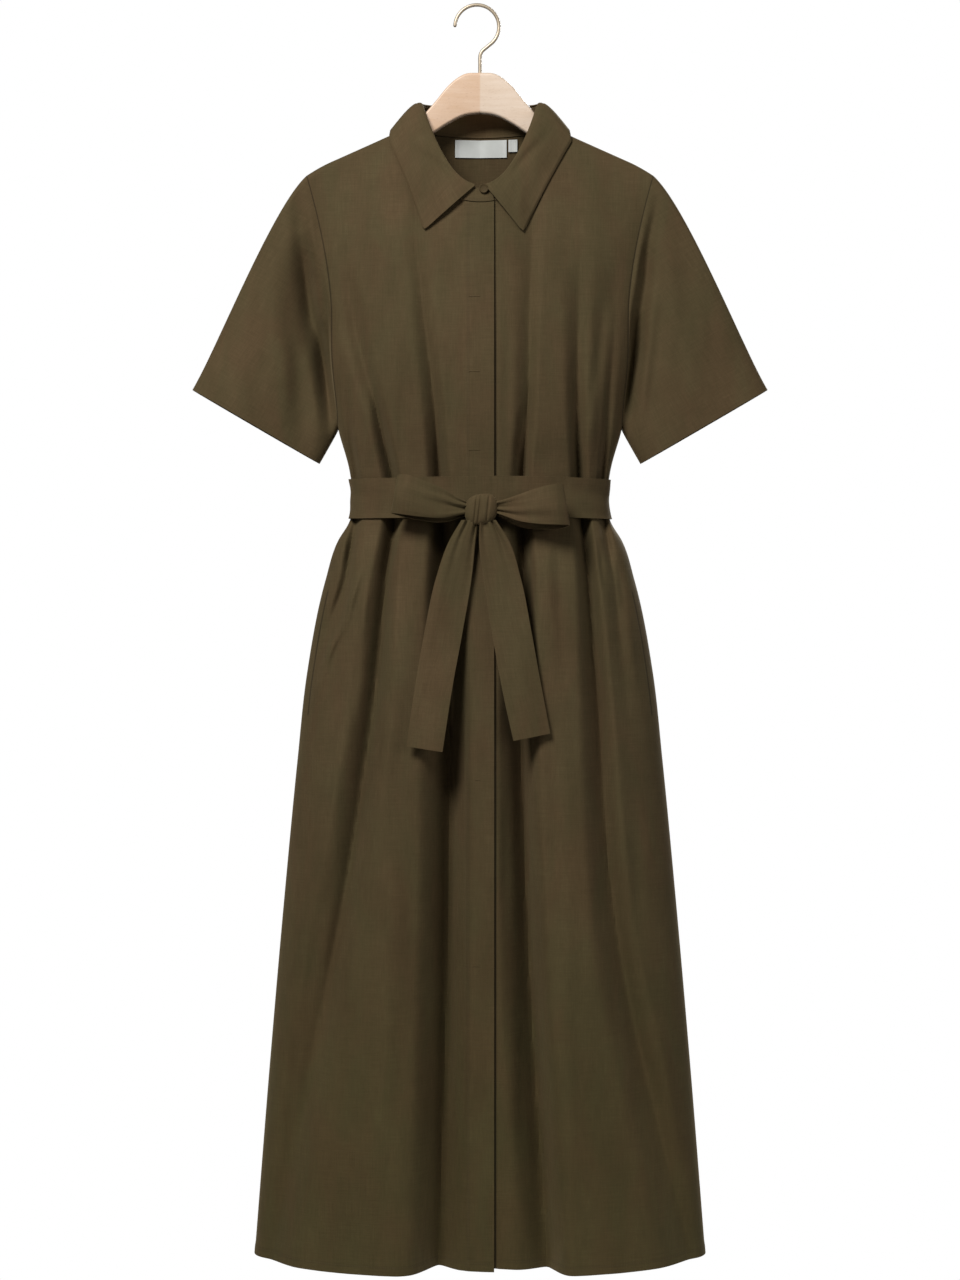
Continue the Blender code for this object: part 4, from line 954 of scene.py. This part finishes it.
def belt_knot(material):
    """The knot: an egg of wound belt that leans a little, with slanting pleats down its middle and
    a band across its right. Latitude t runs from foot to top, longitude a goes round."""
    t = np.linspace(-pi / 2, pi / 2, 80)[:, None]
    a = np.linspace(0, 2 * pi, 160, endpoint=False)[None]

    def power(value, n):
        return np.sign(value) * np.abs(value) ** n

    x = power(np.cos(t), 0.72) * power(np.sin(a), 0.85)
    y = -power(np.cos(t), 0.6) * power(np.cos(a), 0.8)
    z = power(np.sin(t), 0.85) + 0 * a
    pleat = 0
    for place, depth, slant in ((-0.34, 2.2, 0.1), (-0.1, 2.4, 0.12), (0.42, 1.8, 0.1)):
        pleat = pleat + depth * np.exp(-(((x - place - slant * z) / 0.065) ** 2))
    face = ease((-y - 0.1) / 0.5) * (1 - np.abs(z) ** 4)
    lobes = 0.8 * np.cos(pi * (x + 0.6)) * face
    points = stacked(x, y, z) * KNOT_SIZE
    points[..., 1] += (pleat * face + lobes) * MM
    points[..., 2] += 2.2 * MM * x
    points = points + KNOT_CENTRE
    uv = stacked((a * 14 * MM) + 0 * t, z * 20 * MM)
    return mesh_object("knot_of_belt", points, quads(80, 160, True), material, uv, {}, 180)


# ------------------------------------------------------------------ pockets, labels, tacks, button
BAG_SPAN = (0.52, 0.965)     # share of the quarter turn from the centre to the side seam
BAG_FOOT_Z, BAG_TOP_Z, BAG_INSIDE = -842 * MM, -618 * MM, 2.6 * MM
# Left and right end, foot and top, and how far inside the back each tag lies, in mm.
LABEL_PLACE, TAB_PLACE = (-28, 30, -165, -146, 2.2), (32, 42, -159, -146, 2.8)


def pocket_bag(name, side, material):
    """A flat bag inside the front, hung from the side seam, with a rounded foot."""
    s = np.linspace(*BAG_SPAN, 44)[None]
    v = np.linspace(0, 1, 60)[:, None]
    inwards = (s - s.min()) / (s.max() - s.min())
    foot = BAG_FOOT_Z + 70 * MM * (1 - inwards) ** 2 + 18 * MM * inwards**4
    top = BAG_TOP_Z - 26 * MM * (1 - inwards) ** 2
    z = foot + (top - foot) * v
    x = side * section(z, "half_width") * np.sin(pi / 2 * s)
    outer = stacked(x, front_y(x, z), z)
    normal = facing(outer)
    face = outer - normal * BAG_INSIDE
    return wall(name, face, face - normal * CLOTH, material)


def neck_tag(name, x_from, x_to, z_from, z_to, inside, material):
    """A blank woven tag that follows the inside of the back, with turned ends."""
    x, z = np.meshgrid(np.linspace(x_from, x_to, 60) * MM, np.linspace(z_from, z_to, 24) * MM)
    y = back_y(x, z) - inside * MM
    ends = np.minimum(x - x.min(), x.max() - x)
    y = y - 0.35 * MM * (1 - ease((ends - 2.5 * MM) / MM)) - 0.3 * MM * np.sin((x - x.min()) * 120) ** 2
    face = stacked(x, y, z)
    normal = facing(face)
    uv = stacked(x, z)
    return wall(name, face, face - normal * 0.5 * MM, material, uv=uv, stitch=ends - 1.5 * MM, along=z)


TACK_Z = (-331.5, -414.5, -500, -862, -1066)


def placket_tacks(material):
    """Short bars of thread across the placket: each a low half round, laid on the front."""
    t = np.linspace(0, pi, 7)[:, None]
    x = np.linspace(-12.5, 0, 14)[None] * MM + 0 * t
    points, faces = [], []
    for place in TACK_Z:
        z = place * MM - 0.7 * MM * np.cos(t) + 0 * x
        y = front_y(x, z) - FLY_LIFT * 1.03 - 0.45 * MM * np.sin(t)
        faces.append(quads(7, 14, False, len(points) * 98))
        points.append(stacked(x, y, z))
    uv = np.tile(stacked(x, 0 * x)[None], (len(points), 1, 1, 1))
    return mesh_object("placket_tacks", points, np.concatenate(faces), material, uv, {})


def lathe(name, profile, centre, material, count=64):
    """A round piece whose axis points to -Y: profile is (radius, height) from its axis to its axis."""
    a = np.linspace(0, 2 * pi, count, endpoint=False)[None]
    r, h = (np.array(profile)[:, k : k + 1] * MM for k in (0, 1))
    u, v = r * np.cos(a), r * np.sin(a)
    points = stacked(u, -h + 0 * a, v) + np.asarray(centre)
    return mesh_object(name, points, quads(len(profile), count, True), material, stacked(u, v), {}, 40)


BUTTON_PROFILE = (
    (0, 1.2), (2.6, 1.3), (3.4, 1.5), (4.0, 2.1), (4.7, 2.2), (5.1, 1.8), (5.2, 1.2), (5.0, 0.4),
    (0, 0.2),
)


# ------------------------------------------------------------------ hanger
ARMS = table(
    "x top foot",
    (0, -74, -119.5), (18, -76, -122.5), (35, -88.5, -131), (51, -108, -141.5),
    (64, -122.5, -150), (80, -135.7, -158), (100, -145, -166), (140, -163.6, -183),
    (172, -178.5, -197), (182, -183.8, -197),
)


def hanger_wood(material):
    """The wood: rounded sections along X. Its two halves meet in a ridge at the middle, because
    each sweeps forward, and its arms run just under the shoulder seams."""
    spans = ((0, 70, 60), (72, 176, 40), (177, 185, 10))
    half = np.concatenate([np.linspace(*span) for span in spans]) * MM
    x = np.concatenate([-half[:0:-1], half])[:, None]
    far = np.abs(x)
    places, tops, feet = (np.array(ARMS, float) * MM).T
    shown = through(far, places, tops) - 8 * MM * ease((far - 59 * MM) / (13 * MM))
    hidden = shoulder_z(far) - 1.9 * MM * np.sqrt(1 + SHOULDER_SLOPE**2) - 0.4 * MM
    share = ease((far - 86 * MM) / (26 * MM))
    top = shown * (1 - share) + hidden * share
    foot = through(far, places, feet)
    shrink = np.sqrt(1 - 0.93 * np.clip((far - 176 * MM) / (9 * MM), 0, 1) ** 2)
    middle = top + (foot - top) * 0.45
    thick = 5.2 * MM * shrink
    high, low = middle + (top - middle) * shrink, middle + (foot - middle) * shrink
    a = np.linspace(0, 2 * pi, 64, endpoint=False)[None]
    soft = np.minimum(3.4 * MM, thick)
    y = np.sign(np.cos(a)) * (thick - soft) + soft * np.cos(a)
    up = np.where(np.sin(a) > 0, high - soft, low + soft)
    z = up + soft * np.sin(a)
    sweep = np.minimum(-0.062 * np.minimum(far, 58 * MM), shoulder_y(far))
    points = stacked(x + 0 * a, y + sweep, z)
    first, last = (end.mean(axis=1, keepdims=True) + 0 * end for end in (points[:1], points[-1:]))
    points = np.concatenate([first, points, last])
    return mesh_object("hanger_wood", points, quads(len(points), 64, True), material, sharp=30)


HOOK_BEND = ((9.6, -43.4), (5.8, -46.6), (2.4, -49.6), (0.6, -53), (0, -57), (0, -64), (0, -76))


def hanger_hook(material):
    """The wire: a round profile carried along the hook's arc, its bend and its straight stem. Its
    free end is rounded off."""
    radius, wire, aside = 24.6, 2.0, -3.4
    rise = np.sqrt((radius - wire) ** 2 - aside**2)
    a = np.radians(np.linspace(181, -46, 110))
    arc = stacked(aside + radius * np.cos(a), -rise + radius * np.sin(a))
    path = np.concatenate([arc, HOOK_BEND]) * MM
    far = np.concatenate([[0], np.cumsum(np.linalg.norm(np.diff(path, axis=0), axis=1))])
    at = np.linspace(0, far[-1], 420)
    x, z = through(at, far, path[:, 0]), through(at, far, path[:, 1])
    tangent = unit(stacked(np.gradient(x), np.gradient(z)))
    b = np.linspace(0, 2 * pi, 24, endpoint=False)[None]
    round_off = np.sqrt(1 - (1 - np.clip(at / (wire * MM), 0, 1)) ** 2)[:, None] * wire * MM
    points = np.stack([
        x[:, None] - tangent[:, 1:] * round_off * np.cos(b),
        round_off * np.sin(b),
        z[:, None] + tangent[:, :1] * round_off * np.cos(b),
    ], -1)
    return mesh_object("hanger_hook", points, quads(len(at), 24, True), material, sharp=60)


# ------------------------------------------------------------------ materials
SMOOTH = "SMOOTHSTEP"
YARN_PITCH = 1.1 * MM       # the real yarns are 0.5 mm apart, too fine to show
STITCH_LENGTH, THREAD_SHARE = 2.6 * MM, 0.72


def linear(hex_colour):
    """A linear colour from an sRGB hex value."""
    value = np.array([int(hex_colour[k : k + 2], 16) / 255 for k in (1, 3, 5)])
    return (*np.where(value <= 0.04045, value / 12.92, ((value + 0.055) / 1.055) ** 2.4), 1.0)


def fill(tree, made, inputs):
    """Sets a node's inputs, each to a value, a hex colour or a socket. An input named i0, i1 ... is
    taken by its number."""
    for key, value in inputs.items():
        target = made.inputs[int(key[1:]) if key[1:].isdigit() else key.replace("_", " ")]
        if isinstance(value, bpy.types.NodeSocket):
            tree.links.new(value, target)
        else:
            target.default_value = linear(value) if isinstance(value, str) else value


def node(tree, kind, settings=None, **inputs):
    made = tree.nodes.new("ShaderNode" + kind)
    for key, value in (settings or {}).items():
        setattr(made, key, value)
    fill(tree, made, inputs)
    return made


def calc(tree, operation, *values):
    inputs = {f"i{k}": value for k, value in enumerate(values)}
    return node(tree, "Math", {"operation": operation}, **inputs).outputs[0]


def add_share(tree, value, share, rest):
    return calc(tree, "MULTIPLY_ADD", value, share, rest)


def noise(tree, at, scale, detail, **more):
    return node(tree, "TexNoise", Vector=at, Scale=scale, Detail=detail, **more).outputs["Fac"]


def stretched(tree, at, scale):
    return node(tree, "Mapping", Vector=at, Scale=scale).outputs[0]


def span(tree, value, start, end, low=0.0, high=1.0, kind="LINEAR"):
    """value moved from start..end onto low..high and held there."""
    ends = {"From_Min": start, "From_Max": end, "To_Min": low, "To_Max": high}
    return node(tree, "MapRange", {"interpolation_type": kind}, Value=value, **ends).outputs[0]


def blend(tree, share, first, second, kind="MIX"):
    colours = {"Color1": first, "Color2": second}
    return node(tree, "MixRGB", {"blend_type": kind}, Fac=share, **colours).outputs[0]


def ramp(tree, factor, *stops):
    """A colour ramp with (place, hex colour) stops."""
    made = node(tree, "ValToRGB", Fac=factor)
    band = made.color_ramp
    for element, stop in zip(band.elements, (stops[0], stops[-1])):
        element.position, element.color = stop[0], linear(stop[1])
    for place, colour in stops[1:-1]:
        band.elements.new(place).color = linear(colour)
    return made.outputs["Color"]


def bump(tree, height, strength, distance, **more):
    return node(tree, "Bump", Height=height, Strength=strength, Distance=distance, **more).outputs[0]


def start_material(name):
    """A new material and its node tree."""
    material = bpy.data.materials.new(name)
    material.use_nodes = True
    return material, material.node_tree


def object_place(tree):
    return node(tree, "TexCoord").outputs["Object"]


def cloth_place(tree):
    """The place on the piece's own UV map, in metres."""
    return node(tree, "UVMap", {"uv_map": "cloth"}).outputs["UV"]


def finish_material(material, **inputs):
    tree = material.node_tree
    fill(tree, tree.nodes["Principled BSDF"], inputs)
    return material


def woven_linen(name, dark, middle, light):
    """Linen and viscose, plain woven and garment washed: a dry, matt face with a faint nap, thick
    and thin yarns (slubs) both ways, and soft cloudy shade where it was washed. Painted shade
    darkens it towards the hem, beside rows of stitches and along sunk seams and slits."""
    material, tree = start_material(name)
    place, uv = object_place(tree), cloth_place(tree)
    yarn = {"Scale": 2 * pi / 20 / YARN_PITCH, "Distortion": 1.2, "Detail": 1.0, "Detail_Scale": 3.0}
    warp, weft = (
        node(tree, "TexWave", {"bands_direction": way}, Vector=uv, **yarn).outputs["Fac"]
        for way in "XY"
    )
    weave = calc(tree, "MULTIPLY", warp, weft)
    down, across = (
        noise(tree, stretched(tree, uv, scale), 1.0, 3.0) for scale in ((900, 38, 1), (38, 900, 1))
    )
    slub = calc(tree, "ADD", down, across)
    wide = stretched(tree, place, (26, 26, 9))
    cloud = noise(tree, wide, 1.0, 4.0, Roughness=0.6)
    tone = add_share(tree, slub, 0.24, -0.02)
    tone = add_share(tree, cloud, 0.36, tone)
    tone = add_share(tree, noise(tree, place, 420.0, 2.0), 0.1, tone)
    colour = ramp(tree, tone, (0.25, dark), (0.47, middle), (0.72, light))

    wash = span(tree, noise(tree, wide, 1.1, 4.0, Distortion=0.6), 0.35, 0.65)
    tint = blend(tree, wash, "#f6fdf0", "#fff3ec")
    colour = blend(tree, 0.8, colour, tint, "MULTIPLY")
    # Painted shade: from 0.75 m below the rail down to the hem the cloth is darkened and tinted green,
    # for the weaker light lower down.
    height_above = node(tree, "SeparateXYZ", Vector=place).outputs["Z"]
    low = span(tree, height_above, -0.75, -1.35, kind=SMOOTH)
    colour = blend(tree, low, colour, "#eef4e0", "MULTIPLY")

    off, along, seam = (
        node(tree, "Attribute", {"attribute_name": key}).outputs["Fac"] for key in SEAM_VALUES
    )
    near = calc(tree, "ABSOLUTE", off)
    row = span(tree, near, 0.4 * MM, 1.0 * MM, 1.0, 0.0, SMOOTH)
    beat = calc(tree, "FRACT", calc(tree, "DIVIDE", along, STITCH_LENGTH))
    thread = calc(tree, "MULTIPLY", row, calc(tree, "LESS_THAN", beat, THREAD_SHARE))
    gully_and_shade = span(tree, near, 0.2 * MM, 3.0 * MM, 1.0, 0.0, SMOOTH)
    sunk = span(tree, seam, 0.1 * MM, 1.4 * MM, 1.0, 0.0, SMOOTH)
    # Painted shade: the gully within 3 mm of each row of stitches is darkened, standing in for the
    # shade in it; the same mask also sinks it.
    colour = blend(tree, calc(tree, "MULTIPLY", gully_and_shade, 0.2), colour, "#8a8478", "MULTIPLY")
    colour = blend(tree, calc(tree, "MULTIPLY", thread, 0.15), colour, light)
    # Painted shade: the sunk seams, the pocket slits and the strip beside the placket's edge are
    # darkened, standing in for the shade in them.
    colour = blend(tree, calc(tree, "MULTIPLY", sunk, 0.6), colour, "#3a3122", "MULTIPLY")

    height = add_share(tree, slub, 0.5, weave)
    for value, share in ((sunk, -3.0), (gully_and_shade, -1.6), (thread, 1.6)):
        height = add_share(tree, value, share, height)
    crumple = noise(tree, place, 34.0, 3.0, Roughness=0.55)
    soft = bump(tree, crumple, 0.25, 4 * MM, Normal=bump(tree, height, 0.22, 0.25 * MM))
    return finish_material(
        material, Base_Color=colour, Normal=soft, Roughness=0.88, Specular_IOR_Level=0.22,
        Sheen_Weight=0.22, Sheen_Roughness=0.45, Sheen_Tint="#a8946c",
    )


def woven_label():
    """Damask-woven polyester tape: white, closely woven, with a slight satin gleam."""
    material, tree = start_material("woven polyester tape")
    uv = cloth_place(tree)
    rib = {"Scale": 2 * pi / 20 / (0.7 * MM), "Distortion": 0.4}
    ribs = node(tree, "TexWave", {"bands_direction": "Y"}, Vector=uv, **rib).outputs["Fac"]
    tone = add_share(tree, ribs, 0.25, noise(tree, uv, 60.0, 2.0))
    white = ramp(tree, tone, (0.3, "#cdcfc9"), (0.6, "#d4d6d1"), (0.9, "#dbddd8"))
    normal = bump(tree, ribs, 0.2, 0.2 * MM)
    return finish_material(material, Base_Color=white, Normal=normal, Roughness=0.16, Sheen_Weight=0.1)


def lacquered_beech():
    """Steamed beech under a thin satin lacquer: pale, pinkish, with fine straight grain and short
    darker flecks 2 to 3 mm long. Its left half has painted shade: it is coloured darker and
    pinker than the right, for how the light falls on the two swept halves."""
    material, tree = start_material("lacquered beech")
    place = object_place(tree)
    lines = noise(tree, stretched(tree, place, (14, 300, 210)), 1.0, 5.0, Roughness=0.6)
    fleck = noise(tree, stretched(tree, place, (360, 1400, 1400)), 1.0, 1.0)
    # Painted shade: the half on -X gets a darker, pinker ramp than the half on +X, because less light
    # falls on it.
    side = node(tree, "SeparateXYZ", Vector=place).outputs["X"]
    half = span(tree, side, -0.6 * MM, 0.6 * MM, kind=SMOOTH)
    left = ramp(tree, lines, (0.3, "#d2b091"), (0.5, "#d7b79b"), (0.72, "#dcbfa5"))
    right = ramp(tree, lines, (0.3, "#d0b8a0"), (0.5, "#d6c0aa"), (0.72, "#dbc7b3"))
    painted_shade_halves = blend(tree, half, left, right)
    flecked = blend(tree, span(tree, fleck, 0.64, 0.72, 0.0, 0.22), painted_shade_halves, "#a8805c", "MULTIPLY")
    return finish_material(
        material, Base_Color=flecked, Normal=bump(tree, lines, 0.04, 0.3 * MM), Roughness=0.42,
        Coat_Weight=0.25, Coat_Roughness=0.3,
    )


def brass_plated_wire():
    """Steel wire with a pale brass plating, drawn smooth: bright, with tone and roughness that vary a
    little at random.
    """
    material, tree = start_material("pale brass plating")
    place = object_place(tree)
    wear = noise(tree, place, 90.0, 2.0)
    plating = ramp(tree, wear, (0.3, "#a99a84"), (0.55, "#b7a892"), (0.8, "#c4b6a2"))
    rough = span(tree, wear, 0.3, 0.8, 0.36, 0.42)
    return finish_material(material, Base_Color=plating, Roughness=rough, Metallic=0.6)


def dyed_button():
    """Polyester button dyed to match: smooth, close to matt, with faint swirls."""
    material, tree = start_material("dyed polyester button")
    place = object_place(tree)
    swirl = noise(tree, place, 240.0, 3.0, Distortion=1.5)
    swirl = ramp(tree, swirl, (0.3, "#41351f"), (0.7, "#4c3f2a"))
    return finish_material(material, Base_Color=swirl, Roughness=0.75, Specular_IOR_Level=0.15)


# ------------------------------------------------------------------ making the garment
LINEN = woven_linen("washed linen blend", "#3f351f", "#4e412b", "#5e5038")
TAPE, BEECH, WIRE, BUTTON = woven_label(), lacquered_beech(), brass_plated_wire(), dyed_button()
SIDES = {"right": -1, "left": 1}

front_r = front_panel("front_right_panel", -1, True, LINEN)
front_l = front_panel("front_left_panel", 1, False, LINEN)
back = back_panel(LINEN)
sleeve_r = sleeve("right_sleeve", -1, LINEN)
sleeve_l = sleeve("left_sleeve", 1, LINEN)
stand = collar_stand(LINEN)
fall = collar_fall(LINEN)
band = belt_band(LINEN)
loops = {side: bow_loop(side, LINEN) for side in SIDES}
tails = {side: belt_tail(side, LINEN) for side in SIDES}
knot = belt_knot(LINEN)
bags = {side: pocket_bag(f"{side}_pocket_bag", SIDES[side], LINEN) for side in SIDES}
label = neck_tag("blank_neck_label", *LABEL_PLACE, TAPE)
tab = neck_tag("blank_size_tab", *TAB_PLACE, TAPE)
tacks = placket_tacks(LINEN)
low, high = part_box("neck_button")
button_at = ((low[0] + high[0]) / 2, high[1], (low[2] + high[2]) / 2)
button = lathe("matching_button", BUTTON_PROFILE, button_at, BUTTON)
wood = hanger_wood(BEECH)
hook = hanger_hook(WIRE)

# Each slot's pieces, each with the solid that it replaces.
SLOTS = {
    "linen_cloth": (
        (front_r, "front_right"), (front_l, "front_left"), (back, "back"),
        (sleeve_r, "sleeve_right"), (sleeve_l, "sleeve_left"), (stand, "collar_stand"),
        (fall, "collar"), (band, "belt_band"), (loops["right"], "bow_loop_right"),
        (loops["left"], "bow_loop_left"), (tails["right"], "belt_tail_right"),
        (tails["left"], "belt_tail_left"), (knot, "belt_knot"),
        (bags["right"], "pocket_bag_right"), (bags["left"], "pocket_bag_left"),
    ),
    "label_tape": ((label, "neck_label"), (tab, "size_tab")),
    "button": ((button, "neck_button"),),
    "hanger_wood": ((wood, "hanger"),),
    "hook_wire": ((hook, "hook"),),
}
for slot, pieces in SLOTS.items():
    for piece, solid in pieces:
        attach(piece, "root")
        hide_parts(solid)
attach(tacks, "root")


# ------------------------------------------------------------------ floor, lights and camera
FLOOR_RADIUS, FLOOR_Z = 1.15, -1.76
WORLD_LIGHT, WORLD_GLOSS = 0.065, 0.3
CAMERA_AT, CAMERA_LENS, CAMERA_SENSOR = (0, -3.4, -0.709), 85.38, 36


def studio_floor():
    """A pale round floor well below the hem."""
    material, tree = start_material("pale studio floor")
    place = object_place(tree)
    grit = ramp(tree, noise(tree, place, 30.0, 2.0), (0.3, "#eeeeec"), (0.7, "#f4f4f2"))
    finish_material(material, Base_Color=grit, Roughness=0.9)
    a = np.linspace(0, 2 * pi, 96, endpoint=False)[None]
    r = np.linspace(0, FLOOR_RADIUS, 8)[:, None]
    points = stacked(r * np.cos(a), r * np.sin(a), FLOOR_Z + 0 * r * a)
    return mesh_object("studio_floor", points, quads(8, 96, True), material)


def soft_light(name, place, aim_z, size, watts):
    """A round lamp that points at the garment's middle line, at the height aim_z."""
    lamp = bpy.data.lights.new(name, "AREA")
    lamp.shape, lamp.size, lamp.energy = "DISK", size, watts
    holder = bpy.data.objects.new(name, lamp)
    holder.location = place
    aim = Vector((0, 0, aim_z)) - Vector(place)
    holder.rotation_euler = aim.to_track_quat("-Z", "Y").to_euler()
    bpy.context.scene.collection.objects.link(holder)


def white_studio():
    """A weak white world that the camera sees at full strength and gloss at a share of it."""
    world = bpy.data.worlds.new("white studio")
    world.use_nodes = True
    tree = world.node_tree
    dim = tree.nodes["Background"]
    fill(tree, dim, {"Color": "#ffffff", "Strength": WORLD_LIGHT})
    full = node(tree, "Background", Color="#ffffff", Strength=1.0)
    rays = node(tree, "LightPath").outputs
    settings = {"operation": "MULTIPLY_ADD", "use_clamp": True}
    inputs = {"i0": rays["Is Glossy Ray"], "i1": WORLD_GLOSS, "i2": rays["Is Camera Ray"]}
    seen = node(tree, "Math", settings, **inputs).outputs[0]
    mix = node(tree, "MixShader", i0=seen, i1=dim.outputs[0], i2=full.outputs[0])
    fill(tree, tree.nodes["World Output"], {"Surface": mix.outputs[0]})
    return world


studio_floor()
soft_light("key from upper left", (-1.1, -2.2, 1.4), -0.6, 1.2, 108)
soft_light("fill from the right", (2.7, -2.3, -0.1), -0.7, 1.8, 20)
soft_light("back light", (1.2, 2.8, 0.9), -0.6, 1.6, 90)

scene = bpy.context.scene
scene.world = white_studio()
scene.view_settings.view_transform = "Standard"
camera = bpy.data.objects.new("camera", bpy.data.cameras.new("camera"))
camera.location = CAMERA_AT
camera.rotation_euler = (pi / 2, 0, 0)
camera.data.lens, camera.data.sensor_width = CAMERA_LENS, CAMERA_SENSOR
scene.collection.objects.link(camera)
scene.camera = camera
